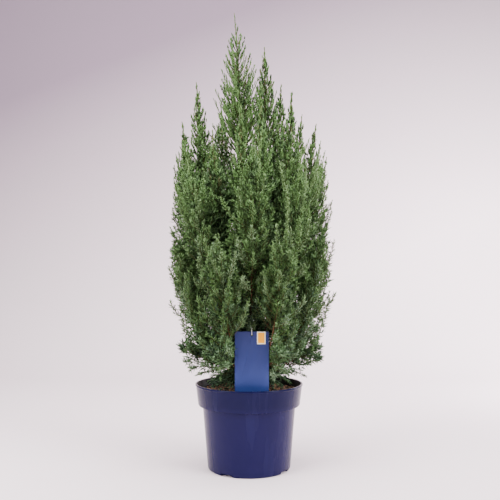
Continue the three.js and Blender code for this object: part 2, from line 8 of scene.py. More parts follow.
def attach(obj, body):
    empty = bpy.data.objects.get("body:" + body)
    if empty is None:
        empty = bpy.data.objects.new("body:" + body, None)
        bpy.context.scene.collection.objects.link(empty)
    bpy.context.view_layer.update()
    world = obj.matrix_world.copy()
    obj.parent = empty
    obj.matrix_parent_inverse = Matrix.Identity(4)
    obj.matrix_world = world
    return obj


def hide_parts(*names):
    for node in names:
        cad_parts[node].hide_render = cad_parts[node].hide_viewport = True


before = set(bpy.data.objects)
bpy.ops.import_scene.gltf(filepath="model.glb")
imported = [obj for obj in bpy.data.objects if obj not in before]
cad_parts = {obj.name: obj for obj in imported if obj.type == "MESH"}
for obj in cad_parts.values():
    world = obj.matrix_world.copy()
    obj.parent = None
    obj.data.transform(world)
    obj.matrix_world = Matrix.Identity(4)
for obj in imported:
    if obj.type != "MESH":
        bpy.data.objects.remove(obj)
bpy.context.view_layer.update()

MM = 0.001
TURN = 2 * math.pi

# Pot
POT_HEIGHT = 177
RIM_RADIUS = 112.5
LIP_BEAD = 1.6
COLLAR_FOOT_RADIUS = 106.5
COLLAR_FOOT_HEIGHT = 131
COLLAR_CORNER = 8
BODY_TOP_RADIUS = 97
BODY_FOOT_RADIUS = 86.5
FOOT_CORNER = 4
FOOT_RING_WIDTH = 9
BASE_LIFT = 5
CENTRE_PAD_RADIUS = 26
WALL = 2
DRAIN_NOTCHES = 4
NOTCH_WIDTH = 27
NOTCH_HEIGHT = 5.5
FIRST_NOTCH = math.radians(238)
POT_SIDES = 128
POT_EDGE = 0.35
POT_FLOOR_RADIUS = 80
POT_FLOOR_BELOW = 10
# Height over which the painted shade on the collar comes in
COLLAR_SHADE_RISE = 12

# Soil, with a lumpy top that sinks towards the pot's wall
SOIL_LEVEL = 163
SOIL_TOP_RADIUS = 106.6
SOIL_RINGS = 34
SOIL_SIDES = 110
SOIL_GAP = 0.3
SOIL_LUMPS = ((55, 2.6), (190, 1.8))
SOIL_SUNK = 1.4
SOIL_EDGE_START = 88
SOIL_EDGE_WIDTH = 20
SOIL_EDGE_DROP = 2.5

# Crumbs on the soil: kind, colour, count, size, share of the pot's width and middle
CRUMBS = (
    ("brown", (142, 108, 84), 900, (7, 4, 2.2), 1, (0, 0)),
    ("dark", (64, 52, 40), 900, (6, 4.5, 2.6), 1, (0, 0)),
    ("rust", (164, 118, 84), 420, (8, 3, 1.6), 1, (0, 0)),
    ("straw", (206, 190, 150), 46, (17, 1.3, 0.8), 0.42, (-58, -50)),
    ("moss", (124, 150, 66), 200, (3, 2.4, 2), 0.3, (66, -60)),
)
CRUMB_SEED = 4
CRUMBS_WITHIN = 103
CRUMBS_CLEAR_OF_TRUNK = 14
CRUMBS_CLEAR_OF_CARD = (2, 4)
CRUMB_SIZE_RANGE = (0.6, 1.25)
CRUMB_TILT = 0.32
CRUMB_ROUGHNESS = 0.12
CRUMB_STANDS_UP = 0.5

# Label
CARD_WIDTH = 67
CARD_TOP = 292
CARD_SUNK = 12
CARD_THICKNESS = 0.8
# Height from the card's top over which its painted shade changes
CARD_SHADE_FADE = 130
CARD_X = 5.6
CARD_Y = -90
CARD_CORNER = 3
CARD_EDGE = 0.12
PLATE_EDGE = 0.05
CARD_HOLE_RADIUS = 2.5
CARD_HOLE_DROP = 7
CARD_MARGIN = 5
CARD_BACK_MARGIN = 8
TIE_HOLDS = "flank_foliage_1"
TIE_RADIUS = 0.75
TIE_SLACK = 5
TIE_HEIGHT = 320
TIE_FRONT_BULGE = 0.7
TIE_TOP_BULGE = 0.2
TIE_FRONT_RISE = 0.45
TIE_BACK_RISE = 0.6
TIE_OVER_CARD = 3
TIE_STATIONS = 90

# Plates of the card's tab, from back to front: name, sides, foot and drop from the card's top, thickness
TAB_PLATES = (
    ("tab_border", (15.8, 32.6), (267, 0.5), 0.14),
    ("tab_amber", (17.8, 30.6), (269.2, 2.6), 0.1),
)

# Trunk and boughs
TRUNK_FOOT_RADIUS = 9
TRUNK_TIP_RADIUS = 2.2
TRUNK_TIP_HEIGHT = 652
TRUNK_TIP_X = -18
TRUNK_TAPER = 0.8
TRUNK_STATIONS = 150
TRUNK_SIDES = 20
ROUND_SIDES = 12
ROOT_FLARE = 6
ROOT_FLARE_RISE = 20
ROOT_LOBES = 5
ROOT_LOBE_DEPTH = 0.25
BOUGH_ROOT_RADIUS = 4.6
BOUGH_TIP_RADIUS = 2.3
BOUGH_STATIONS = 60
LOWEST_BOUGH_ROOT = 252
BOUGH_ROOT_STEP = 14
BOUGH_INWARD = 0.27
BOUGH_RUN_OUT = 0.45
BOUGH_FIRST_RISE = 0.22
BOUGH_LAST_RISE = 0.3
BOUGH_OUTSWING = 0.25
TRUNK_BARK_DEPTH = 0.12
BOUGH_BARK_DEPTH = 0.1
BARK_LEAST_RADIUS = 0.2

# Strips and cracks of the bark: how finely they divide a limb round it and up it, shift, scale and share
BARK_WAVES = ((2.6, 0.02, 0, 1.3, 0.6), (5, 0.06, 7, 1, 0.4))

# Leaders: name, tip, reach of the twigs and length of the plume
LEADERS = (
    ("crest", (-31, 0, 951), 64, 299),
    ("right_spire", (33, 24, 888), 40, 240),
    ("left_spire", (-111, 4, 807), 40, 262),
    ("back_right_spire", (70, 58, 818), 42, 262),
    ("front_right_spire", (87, -42, 773), 41, 270),
    ("right_shoulder", (113, 22, 744), 36, 240),
    ("far_right_shoulder", (138, -30, 711), 38, 235),
    ("far_left_shoulder", (-137, -36, 714), 38, 245),
    ("front_left_spire", (-73, -74, 690), 43, 275),
    ("front_spire", (-17, -66, 740), 41, 270),
    ("front_centre_spire", (24, -64, 757), 43, 285),
    ("back_left_spire", (-62, 74, 782), 44, 275),
    ("back_spire", (8, 98, 722), 44, 270),
    ("back_left_shoulder", (-112, 72, 700), 40, 245),
    ("back_right_shoulder", (88, 104, 690), 42, 250),
)
# How far a plume's foot stands in from its tip, where it differs from BOUGH_INWARD
INWARD_OF = {"right_spire": -0.1}

# Rings of plumes: name, count, first angle, foot on the trunk, base and tip (radius, height), reach, wander
RINGS = (
    ("flank", 8, -90, 228, (84, 350), (158, 642), 56, 0.2),
    ("low", 8, -66, 206, (76, 234), (168, 486), 62, 0.1),
    ("skirt", 7, -64.3, 184, (46, 206), (152, 250), 56, 0.1),
)
RING_CENTRE_X = 3
RING_FOOT_STAGGER = 9
RING_TIP_SPREAD = 0.1
RING_TIP_LIFT = 0.09

# Stems of the plumes, drawn as lengths that overlap a little
STEM_RADIUS = 1.9
STEM_TIP_RADIUS = 0.6
STEM_SIDES = 6
STEM_STATIONS = 7
BARKED_LENGTHS = ((0, 0.34), (0.33, 0.67))
GREEN_LENGTHS = ((0.66, 0.97),)
LEADER_FOLIAGE_START = 0.02
CREST_BEND = 0.55
PLUME_BEND = 0.4
CREST_LIFT = 0.45
STEM_GAP = 0.3

# Twigs that leave a stem
GOLDEN_ANGLE = math.radians(137.508)
SEED = 5.31
TWIG_CROWDING = 0.9
LOWEST_LEAN = math.radians(50)
TOP_LEAN = math.radians(20)
LAST_TWIG = 0.86
TWIG_RISE = 0.16
UPTURN = 0.12
MASS_TURN = 1.7
TURN_WANDER = 0.5
LEAN_WANDER = 0.2
LENGTH_WANDER = 0.24
SHOULDER = 0.25
FOOT_SHARE = 0.62
LEADER_SHARPNESS = 0.75
RING_SHARPNESS = 0.6
TWIG_LEAST_REACH = 5

# Finer growth, which the frame leaves out. A pair is a range, or what holds for the close growth high up and
# for the open growth low down. A bow is the place of a shoot's bend between its root and its tip.
GROWTH_SEED = 11
LEADER_TWIG_EVERY = 2.7
RING_TWIG_EVERY = 4.6
STRONG_EVERY = 3
STRONG_BOW = (0.8, 0.8, 0.25)
LEADER_BOW = (0.62, 0.62, 0.36)
WEAK_BOW = (0.68, 0.68, 0.3)
WEAK_LENGTH = 0.95
STRONG_SLACK = (2, 6)
WEAK_SLACK = (-7, 5)
SLACK_RANGE = (-18, 9)
SPIRE_SLACK = 3
CREST_SHARPNESS = 1
LEADER_PARTS = ((0.46, 0.72), (0.7, 1))
TWIG_LEAFY = 0.45
THINNED_SHARES = (0.6, 0.2)
THINNED_RISE = (0.5, 0.92)
SLIM_SHARES = (0.28, 0.5)
SLIM_RISE = (0.32, 0.84)
SOFT_HEIGHTS = (430, 760)
SOFT_WANDER = 0.13

# Side shoots of the twigs
SIDE_APART = (4.8, 5.4)
WEAK_APART = 1.8
SIDE_ALONG = 0.8
SIDE_SPAN = (0.14, 0.94)
SIDE_PLACE_RANGE = (0.2, 0.8)
SIDE_TURN = 2.4
SIDE_LEAN = (18, 46)
SIDE_LEAN_RANGE = (0.75, 1.25)
SIDE_UPTURN = (1.15, 0.3)
SIDE_HALF_WIDTH = (15, 3)
SIDE_LEAST_WIDTH = 2
SIDE_WIDTH_SHARE = 0.26
SIDE_CLOSE_WIDTH = 0.76
SIDE_REACH_RANGE = (0.75, 1.2)
SIDE_SLACK_WANDER = 2.5
SIDE_ELBOW = 0.1
SIDE_LEAFY = 0.06
SIDE_SOFT_WANDER = 0.08
TIP_ROOM = 7
TIP_SLOPE = 1.2
LEAST_HEADROOM = 0.2

# Shaded shoots inside the crown. The stretches that they fill have a start, an end and a reach.
INNER_EVERY = 3.9
INNER_LEAN = (35, 62)
INNER_UPRIGHT = 0.4
INNER_RANGE = (0.7, 1.2)
INNER_ELBOW = 0.12
INNER_LEAFY = 0.15
INNER_SLACK = -14
LEADER_HEART_LIGHT = 0.3
RING_HEART_LIGHT = 0.26
HEART_END = 0.78
HEART_REACH = 0.7
HEART_TAPER = 0.75
HEART_SLACK = 12
TRUNK_FIRST = 0.03
TRUNK_REACH = 66
TRUNK_FILLS = ((0.03, 0.55, 104), (0.03, 0.5, 84))
TRUNK_TOP_FILL = (0.62, 1, 92)
BOUGH_FILLS = ((0.2, 46), (0.5, 60))
LOWER_HEART_END = 0.5
LOWER_HEART_REACH = 0.95
LOWER_HEART_TAPER = 0.4
UPPER_STEM_START = 0.3
UPPER_STEM_END = 0.86
UPPER_STEM_REACH = 34
UPPER_STEM_TAPER = 0.5
BARE_STEM_START = 0.3
BARE_STEM_REACH = 50
CREST_FILLS = (
    (0, 0.42, 60, RING_HEART_LIGHT, 0.4),
    (0, 0.36, 44, RING_HEART_LIGHT, 0.4),
    (0.02, 0.6, 26, LEADER_HEART_LIGHT, 0.8),
    (0.02, 0.6, 38, LEADER_HEART_LIGHT, 0.8),
)

# Short low sprays round the trunk's foot
FOOT_SPRAYS = 120
FOOT_ROOTS = (180, 222)
FOOT_REACHES = (48, 104)
FOOT_HEIGHTS = (173, 204)
FOOT_ARCH = (4, 16)
FOOT_LIT_EVERY = 3
FOOT_LIGHT = 0.3
FOOT_LEAFY = 0.3
FOOT_SOFT = 0.9

# Sprays over the label, and the dark hollow between them where the stem shows
RECESS_X = 18
RECESS_HALF_WIDTH = 24
RECESS_TOP = 330
RECESS_BACK = -12
OVER_LABEL_DROP = 46
OVER_LABEL_SOFT = 0.95
OVER_LABEL_LIGHT = 0.6
OVER_LABEL_SIDE_LIGHT = (0.2, 0.8)
OVER_LABEL_LIT = (30, 90)
OVER_LABEL_TOP = 400
SPRAYS_OVER_LABEL = (
    (-36, -86, 318), (-24, -90, 306), (-19, -84, 331), (-8, -88, 343), (-4, -92, 319), (5, -97, 320),
    (1, -98, 309), (9, -97, 307), (12, -92, 340), (36, -86, 322), (43, -78, 306),
)

# Upright cords all round the crown. MANTLE_STEM_SPAN is the start, end and number of roots to pick from.
MANTLE_CORDS = 170
MANTLE_TURN_WANDER = 0.1
MANTLE_HEIGHTS = (300, 690)
MANTLE_REACHES = (0.82, 0.965)
MANTLE_LENGTHS = (60, 100)
MANTLE_INWARD = (0.8, 0.8, 1)
MANTLE_STEM_SPAN = (0.1, 0.8, 30)
MANTLE_BOW = (0.75, 0.75, 0.3)
MANTLE_SLIM = 0.35
MANTLE_TOP = 900
MANTLE_LEAST_LIGHT = 0.3
OUTER_LEAFY = 0.4

# Reach of the crown by height, read off both sides of its outline
CROWN_HEIGHTS = (180, 228, 279, 330, 388, 439, 472, 523, 628, 668, 716, 745, 807, 951)
CROWN_REACHES = (126, 142, 155, 163, 175, 184, 184, 180, 170, 158, 142, 128, 125, 90)
CROWN_FOOT = 183
CROWN_FOOT_WANDER = 11
REACH_CENTRE_X = 4
LOW_SHIFT = 1
LOW_SHIFT_HEIGHTS = (250, 420)
SHORTEN_STEPS = 8
SHORTEN_STEP = 0.08

# Upright furrows in the crown's middle. Waves that bend them: amount, height in millimetres, turns
RIDGES = 22
FURROW_WAVES = ((1.1, 90, 3), (0.5, 38, 7))
FURROW_SHARPNESS = 1.7
FURROW_START = (270, 400)
FURROW_DEPTH = 15
FURROW_DEPTH_END = (620, 690)
FURROW_LIGHT = 0.4
FURROW_LIGHT_END = (760, 860)

# Light that picks a spray's tone: painted shade and light, darker needle colours inside the crown and paler
# ones at its surface
OUTWARD = (0.45, 0.98)
OPEN_HEIGHTS = (500, 690)
LOW_LIGHT = 0.52
LOW_LIGHT_HEIGHTS = (220, 480)
HIGH_LIGHT = 0.57
HIGH_LIGHT_HEIGHTS = (560, 760)
STEM_LIGHT = 0.56
STEM_MARKS = 40
BESIDE_STEM = (0.05, 0.75)
PLUME_TIP_LIGHT = 0.6
PLUME_TIP_RISE = (0.35, 0.75)
SPIRE_HEIGHTS = (640, 720)
WEAK_LIGHT = 0.56
TWIG_MOOD = 0.15
LEADER_TIP_LIGHT = 2
LEADER_LIGHT = 0.7
TAN_SHARE = 0.16
TAN_SLIM = 0.3
SHADE_LIGHT = 0.14
SHADED_SHARE = 0.6

# Needles, in whorls of three, a little larger and fewer where the light is low
WHORLS_APART = (3.05, 4.05)
FIRST_WHORL = 0.6
NEEDLE_SHADE = (0.12, 0.36)
SHADED_APART = 2.3
SHADED_SIZE = 1.7
NEEDLE_SPREAD = (14, 55)
NEEDLE_LENGTH = (6, 10)
NEEDLE_HALF_WIDTH = (1.08, 1.1)
NEEDLE_TURN_WANDER = 0.2
NEEDLE_SPREAD_RANGE = (0.82, 1.18)
NEEDLE_LENGTH_RANGE = (0.82, 1.15)
CLOSING = (0.6, 1)
CLOSED_SPREAD = 0.5
CLOSED_LENGTH = 0.75
NEEDLE_BODY = 0.34
NEEDLE_LIFT = 0.25
NEEDLE_INCURVE = 0.07
NEEDLE_PIECE_LIMIT = 190000

# Radii of the fine growth, the share of it that is left at the tip, and its sides
TWIG_RADIUS = 0.9
SIDE_SHOOT_RADIUS = 0.55
INNER_SHOOT_RADIUS = 0.7
SHOOT_TIP_SHARE = 0.45
SHOOT_SIDES = 3

# Points that courses are drawn with, and the share of a course over which its heading is read
PULLED_POINTS = 201
THROUGH_POINTS = 60
STRETCH_POINTS = 60
HEADING_SHARE = 0.004

# Directions that headings are crossed with
STEM_ASIDE = (0, 1, 0.02)
TWIG_ASIDE = (0.03, 1, 0.02)
SHOOT_ASIDE = (0.31, 0.9, 0.17)


def mix(low, high, share):
    return low + (high - low) * share


def smooth(low, high, value):
    share = np.clip((value - low) / (high - low), 0, 1)
    return share * share * (3 - 2 * share)


def size_of(vectors):
    return np.linalg.norm(vectors, axis=-1)


def unit(vectors):
    return vectors / np.maximum(size_of(vectors)[..., None], 1e-9)


def picked(chosen, *lists):
    return [values[chosen] for values in lists]


def chance(mass, twig, use):
    """A repeatable number from 0 to 1: from the mass's number, the twig's number and what it is used for."""
    value = np.sin(mass * 127.1 + twig * 311.7 + use * 74.7 + SEED) * 43758.5453
    return value - np.floor(value)


def varied(amount, mass, twig, use):
    return 1 + amount * (chance(mass, twig, use) - 0.5)


def polar(radius, angle, height, middle=RING_CENTRE_X):
    return np.stack([middle + radius * np.cos(angle), radius * np.sin(angle), height], axis=-1)


class Course:
    """A smooth course through space, read at shares of its length."""

    def __init__(self, points):
        self.points = np.asarray(points, float)
        self.reach = np.concatenate([[0], np.cumsum(size_of(np.diff(self.points, axis=0)))])
        self.length = self.reach[-1]

    def at(self, share):
        reach = np.asarray(share) * self.length
        return np.stack([np.interp(reach, self.reach, self.points[:, k]) for k in range(3)], axis=-1)

    def heading(self, share):
        share = np.asarray(share, float)
        ahead, behind = np.minimum(share + HEADING_SHARE, 1), np.maximum(share - HEADING_SHARE, 0)
        return unit(self.at(ahead) - self.at(behind))

    def stretch(self, low, high):
        return Course(self.at(np.linspace(low, high, STRETCH_POINTS)))


def pulled(*marks):
    """A smooth course from its first mark to its last, pulled aside by the marks between them."""
    share = np.linspace(0, 1, PULLED_POINTS)[:, None]
    order = len(marks) - 1
    weights = (math.comb(order, k) * share**k * (1 - share) ** (order - k) for k in range(order + 1))
    return Course(sum(weight * np.asarray(mark, float) for weight, mark in zip(weights, marks)))


def course_through(marks, closed=False):
    """A smooth course through marks, which doesn't loop where they stand close together."""
    marks = [np.asarray(mark, float) for mark in marks]
    if closed:
        marks = [marks[-1], *marks, marks[0], marks[1]]
    else:
        marks = [2 * marks[0] - marks[1], *marks, 2 * marks[-1] - marks[-2]]
    points = []
    for a, b, c, d in zip(marks, marks[1:], marks[2:], marks[3:]):
        before, here, after = (math.sqrt(size_of(q - p)) for p, q in ((a, b), (b, c), (c, d)))
        leave = ((b - a) / before - (c - a) / (before + here) + (c - b) / here) * here
        arrive = ((c - b) / here - (d - b) / (here + after) + (d - c) / after) * here
        share = np.linspace(0, 1, THROUGH_POINTS, endpoint=False)[:, None]
        square = (3 * (c - b) - 2 * leave - arrive) * share**2
        points.append(b + leave * share + square + (2 * (b - c) + leave + arrive) * share**3)
    points.append(marks[-2][None, :])
    return Course(np.concatenate(points))


# Courses of the trunk, the boughs and the plumes' stems, as the frame has them
trunk_marks = (
    (0, 0, SOIL_LEVEL),
    (0, 0, (SOIL_LEVEL + TRUNK_TIP_HEIGHT) / 2),
    (TRUNK_TIP_X, 0, TRUNK_TIP_HEIGHT),
)
trunk_course = pulled(*trunk_marks)


def trunk_at(height):
    share = np.asarray((height - SOIL_LEVEL) / (TRUNK_TIP_HEIGHT - SOIL_LEVEL))[..., None]
    low, middle, high = (np.asarray(mark, float) for mark in trunk_marks)
    return low * (1 - share) ** 2 + 2 * middle * share * (1 - share) + high * share**2


def trunk_radius(share, angle):
    taper = mix(TRUNK_FOOT_RADIUS, TRUNK_TIP_RADIUS, share**TRUNK_TAPER)
    rise = share * (TRUNK_TIP_HEIGHT - SOIL_LEVEL)
    flare = ROOT_FLARE * np.exp(-rise / ROOT_FLARE_RISE)
    return taper + flare * (1 - ROOT_LOBE_DEPTH + ROOT_LOBE_DEPTH * np.cos(ROOT_LOBES * angle))


def plume_width(share, sharpness):
    """A plume's half width at a share of its height: widest at its shoulder, drawn to a point at its tip."""
    swell = mix(FOOT_SHARE, 1, np.sin(np.pi / 2 * np.minimum(share / SHOULDER, 1)))
    taper = np.power(np.clip((1 - share) / (1 - SHOULDER), 0, 1), sharpness)
    return np.where(share < SHOULDER, swell, taper)


def lay_out_leaders():
    courses = {}
    plumes = []
    upward = [leader[0] for leader in sorted(LEADERS[1:], key=lambda leader: leader[1][2])]
    for name, tip, reach, length in LEADERS:
        tip = np.array(tip, float)
        if name == "crest":
            foot = trunk_course.at(1) + trunk_course.heading(1) * CREST_LIFT
            bend = np.array([foot[0], foot[1], mix(foot[2], tip[2], CREST_BEND)])
        else:
            root = trunk_at(LOWEST_BOUGH_ROOT + BOUGH_ROOT_STEP * upward.index(name))
            outward = 1 - INWARD_OF.get(name, BOUGH_INWARD)
            base = np.array([tip[0] * outward, tip[1] * outward, tip[2] - length])
            rise = base[2] - root[2]
            low = mix(root, base, BOUGH_RUN_OUT)
            low[2] = root[2] + rise * BOUGH_FIRST_RISE
            high = mix(base, tip, -BOUGH_OUTSWING)
            high[2] = base[2] - rise * BOUGH_LAST_RISE
            courses[name + "_bough"] = pulled(root, low, high, base)
            heading = unit(base - high)
            foot = base + heading * STEM_GAP
            bend = foot + heading * length * PLUME_BEND
        plumes.append((name + "_foliage", pulled(foot, bend, tip), LEADER_FOLIAGE_START, reach))
    return courses, plumes


def lay_out_rings(number):
    plumes = []
    for name, count, first, foot, base, tip, reach, wander in RINGS:
        for i in range(count):
            angle = math.radians(first) + TURN * (i + wander * (chance(number, 0, 1) - 0.5)) / count
            spread = varied(RING_TIP_SPREAD, number, 0, 2)
            lift = varied(RING_TIP_LIFT, number, 0, 3)
            start = trunk_at(foot + (i % 2) * RING_FOOT_STAGGER)
            middle = polar(base[0], angle, base[1])
            end = polar(tip[0] * spread, angle, tip[1] * lift)
            bare, leafy = size_of(middle - start), size_of(end - middle)
            stem = course_through([start, middle, end])
            plumes.append((f"{name}_foliage_{i + 1}", stem, bare / (bare + leafy), reach))
            number += 1
    return plumes


bough_courses, plumes = lay_out_leaders()
plumes += lay_out_rings(len(plumes))
foliage_nodes = [name for name, *_ in plumes]


# Growth. A shoot is a root, a bend and a tip. It also has the share of it that is bare, how young and open
# its needles are, and the light it gets, from 0 deep inside the crown to 1 at its surface.
class Shoots:
    def __init__(self):
        self.kept = {"root": [], "bend": [], "tip": [], "leafy": [], "soft": [], "light": []}

    def add(self, root, **traits):
        for key, values in {"root": root, **traits}.items():
            self.kept[key].append(np.broadcast_to(values, (len(root), *np.shape(values)[1:])))

    def all(self):
        return {key: np.concatenate(values) for key, values in self.kept.items()}


def crown_reach(height):
    return np.interp(height, CROWN_HEIGHTS, CROWN_REACHES)


def furrow(points, end):
    """1 in the upright furrows of the crown's middle and 0 on the ridges between them and above."""
    angle = np.arctan2(points[:, 1], points[:, 0] - RING_CENTRE_X)
    height = points[:, 2]
    wander = sum(amount * np.sin(height / rise + turns * angle) for amount, rise, turns in FURROW_WAVES)
    wave = 0.5 - 0.5 * np.cos(RIDGES * angle + wander)
    return wave**FURROW_SHARPNESS * smooth(*FURROW_START, height) * (1 - smooth(*end, height))


def over_reach(points, slack):
    """The crown's axis, how far points stand from it, and how far they may."""
    middle = REACH_CENTRE_X + LOW_SHIFT * (1 - smooth(*LOW_SHIFT_HEIGHTS, points[:, 2]))
    out = np.hypot(points[:, 0] - middle, points[:, 1])
    return middle, out, crown_reach(points[:, 2]) + slack - FURROW_DEPTH * furrow(points, FURROW_DEPTH_END)


def drawn_in(points, slack):
    """Points brought back inside the crown's reach, with a little slack for each."""
    middle, out, limit = over_reach(points, slack)
    share = np.minimum(1, limit / np.maximum(out, 1))
    return np.stack([mix(middle, points[:, 0], share), points[:, 1] * share, points[:, 2]], axis=1)


def shortened(root, tip, slack):
    """Tips brought back along their own shoots until they stand inside the crown's reach."""
    share = np.ones(len(root))
    for _ in range(SHORTEN_STEPS):
        _, out, limit = over_reach(mix(root, tip, share[:, None]), slack)
        share = np.where(out > limit, share - SHORTEN_STEP, share)
    return drawn_in(mix(root, tip, share[:, None]), slack)


def lifted(points, rng):
    """Points that would hang below the crown's foot, brought up to it."""
    floor = CROWN_FOOT + rng.uniform(0, CROWN_FOOT_WANDER, len(points))
    return np.stack([points[:, 0], points[:, 1], np.maximum(points[:, 2], floor)], axis=1)


def surface_light(points):
    """Little light deep in the crown and in its furrows, more at the surface and in the open air above."""
    height = points[:, 2]
    outward = np.hypot(points[:, 0] - RING_CENTRE_X, points[:, 1]) / crown_reach(height)
    open_air = np.maximum(smooth(*OUTWARD, outward), smooth(*OPEN_HEIGHTS, height))
    furrowed = mix(1, FURROW_LIGHT, furrow(points, FURROW_LIGHT_END))
    low = mix(LOW_LIGHT, 1, smooth(*LOW_LIGHT_HEIGHTS, height)) * furrowed
    return open_air * low * mix(1, HIGH_LIGHT, smooth(*HIGH_LIGHT_HEIGHTS, height))


def light_at(points, stem, reach):
    """The surface's light, less beside a plume's stem."""
    course = stem.at(np.linspace(0, 1, STEM_MARKS))
    foot, top = course[0, 2], course[-1, 2]
    beside = size_of(points[:, None] - course[None]).min(axis=1) / reach
    near_tip = smooth(*PLUME_TIP_RISE, (points[:, 2] - foot) / (top - foot))
    tip_light = PLUME_TIP_LIGHT * near_tip * smooth(*SPIRE_HEIGHTS, top)
    return surface_light(points) * np.maximum(mix(STEM_LIGHT, 1, smooth(*BESIDE_STEM, beside)), tip_light)


def turned_about(vectors, axes, angles):
    """Vectors that stand square to their axes, turned about them."""
    angles = np.asarray(angles)[..., None]
    return vectors * np.cos(angles) + np.cross(axes, vectors) * np.sin(angles)


def leaning(heading, side, lean):
    return heading * np.cos(lean)[:, None] + side * np.sin(lean)[:, None]


def along(root, bend, tip, share):
    """Points and headings on shoots, each read at its own share."""
    share = np.asarray(share)[..., None]
    point = root * (1 - share) ** 2 + 2 * bend * share * (1 - share) + tip * share**2
    return point, unit((bend - root) * (1 - share) + (tip - bend) * share)


def numbered(counts):
    """Whose each of many things is, and its number among those of its owner."""
    return np.repeat(np.arange(len(counts)), counts), np.concatenate([np.arange(count) for count in counts])


def in_label_room(points):
    beside = np.abs(points[..., 0] - CARD_X) < CARD_WIDTH / 2 + CARD_MARGIN
    return beside & (points[..., 1] < CARD_Y + CARD_BACK_MARGIN) & (points[..., 2] < CARD_TOP + CARD_MARGIN)


def leaves_front_open(points):
    """Clear of the label and of the dark hollow over it."""
    in_hollow = np.abs(points[..., 0] - RECESS_X) < RECESS_HALF_WIDTH
    in_hollow &= (points[..., 1] < RECESS_BACK) & (points[..., 2] < RECESS_TOP)
    return ~in_label_room(points) & ~in_hollow


def rise_in(points, stem, start):
    """How far up a plume points stand, as a share of its height."""
    foot, top = stem.at(start)[2], stem.at(1)[2]
    return (points[:, 2] - foot) / (top - foot)


def drawn_to_stem(tip, index, stem, start, reach):
    """Tips of a leader's shoots, brought back inside the plume's width at their height."""
    if index >= len(LEADERS):
        return tip
    share = np.clip(rise_in(tip, stem, start), 0, 1)
    centre = stem.at(mix(start, 1, share))
    centre[:, 2] = tip[:, 2]
    sharpness = CREST_SHARPNESS if index == 0 else LEADER_SHARPNESS
    limit = reach * plume_width(share, sharpness) + SPIRE_SLACK
    return centre + (tip - centre) * np.minimum(1, limit / np.maximum(size_of(tip - centre), 1))[:, None]


def twigs_of(index, stem, start, reach):
    """The frame's rule for twigs, with more of them: strong ones that stand up and weak ones between."""
    is_leader = index < len(LEADERS)
    every = LEADER_TWIG_EVERY if is_leader else RING_TWIG_EVERY
    sharpness = LEADER_SHARPNESS if is_leader else RING_SHARPNESS
    count = int(stem.length * (1 - start) / every)
    i = np.arange(count)
    share = LAST_TWIG * ((i + 0.5) / count) ** TWIG_CROWDING
    heading = stem.heading(mix(start, 1, share))
    turn = GOLDEN_ANGLE * i + MASS_TURN * index + TURN_WANDER * (chance(index, i, 4) - 0.5)
    side = turned_about(unit(np.cross(heading, STEM_ASIDE)), heading, turn)
    lean = mix(LOWEST_LEAN, TOP_LEAN, share) * varied(LEAN_WANDER, index, i, 5)
    width = reach * plume_width(np.minimum(1, share + TWIG_RISE), sharpness)
    width = np.maximum(TWIG_LEAST_REACH, width * varied(LENGTH_WANDER, index, i, 6))
    strong = (i + index) % STRONG_EVERY == 0
    length = width / np.sin(lean) * np.where(strong, 1, WEAK_LENGTH)
    direction = unit(leaning(heading, side, lean) + (0, 0, UPTURN))
    return stem.at(mix(start, 1, share)), direction, length, strong


def needle_softness(height, rng):
    """How far the needles stand out, from 0 for close ones high up to 1 for young open ones low down."""
    return np.clip(1 - smooth(*SOFT_HEIGHTS, height) + rng.normal(0, SOFT_WANDER, len(height)), 0, 1)


def side_shoots_of(root, bend, tip, rng, soft, top, strong=True, slack=0, slim=0):
    """Shoots on all sides of a twig that make it a flame: long and close high up, short and open low down."""
    soft, strong, slack, slim = (np.broadcast_to(values, len(root)) for values in (soft, strong, slack, slim))
    length = size_of(tip - root)
    apart = mix(*SIDE_APART, soft) * np.where(strong, 1, WEAK_APART)
    counts = np.maximum((length * SIDE_ALONG / apart).astype(int), 1)
    parent, order = numbered(counts)
    share = mix(*SIDE_SPAN, (order + rng.uniform(*SIDE_PLACE_RANGE, len(order))) / counts[parent])
    start, heading = along(root[parent], bend[parent], tip[parent], share)
    square = unit(np.cross(heading, TWIG_ASIDE))
    side = turned_about(square, heading, GOLDEN_ANGLE * order + SIDE_TURN * parent)
    lean = np.radians(mix(*SIDE_LEAN, soft[parent])) * rng.uniform(*SIDE_LEAN_RANGE, len(order))
    direction = leaning(heading, side, lean)
    direction[:, 2] += mix(*SIDE_UPTURN, soft[parent])
    direction = unit(direction)
    half = np.minimum(mix(*SIDE_HALF_WIDTH, share), SIDE_LEAST_WIDTH + SIDE_WIDTH_SHARE * length[parent])
    half = half * (1 - slim[parent]) * mix(SIDE_CLOSE_WIDTH, 1, soft[parent])
    reach = half / np.sin(lean) * rng.uniform(*SIDE_REACH_RANGE, len(order))
    beside = np.hypot(*(start - tip[parent]).T[:2])
    headroom = (top - TIP_ROOM - TIP_SLOPE * beside - start[:, 2]) / (direction[:, 2] * reach)
    reach = reach * np.clip(headroom, LEAST_HEADROOM, 1)
    slack = slack[parent] + rng.normal(0, SIDE_SLACK_WANDER, len(order))
    end = shortened(start, start + direction * reach[:, None], slack)
    return parent, start, (start + end) / 2 + side * (reach * SIDE_ELBOW)[:, None], end


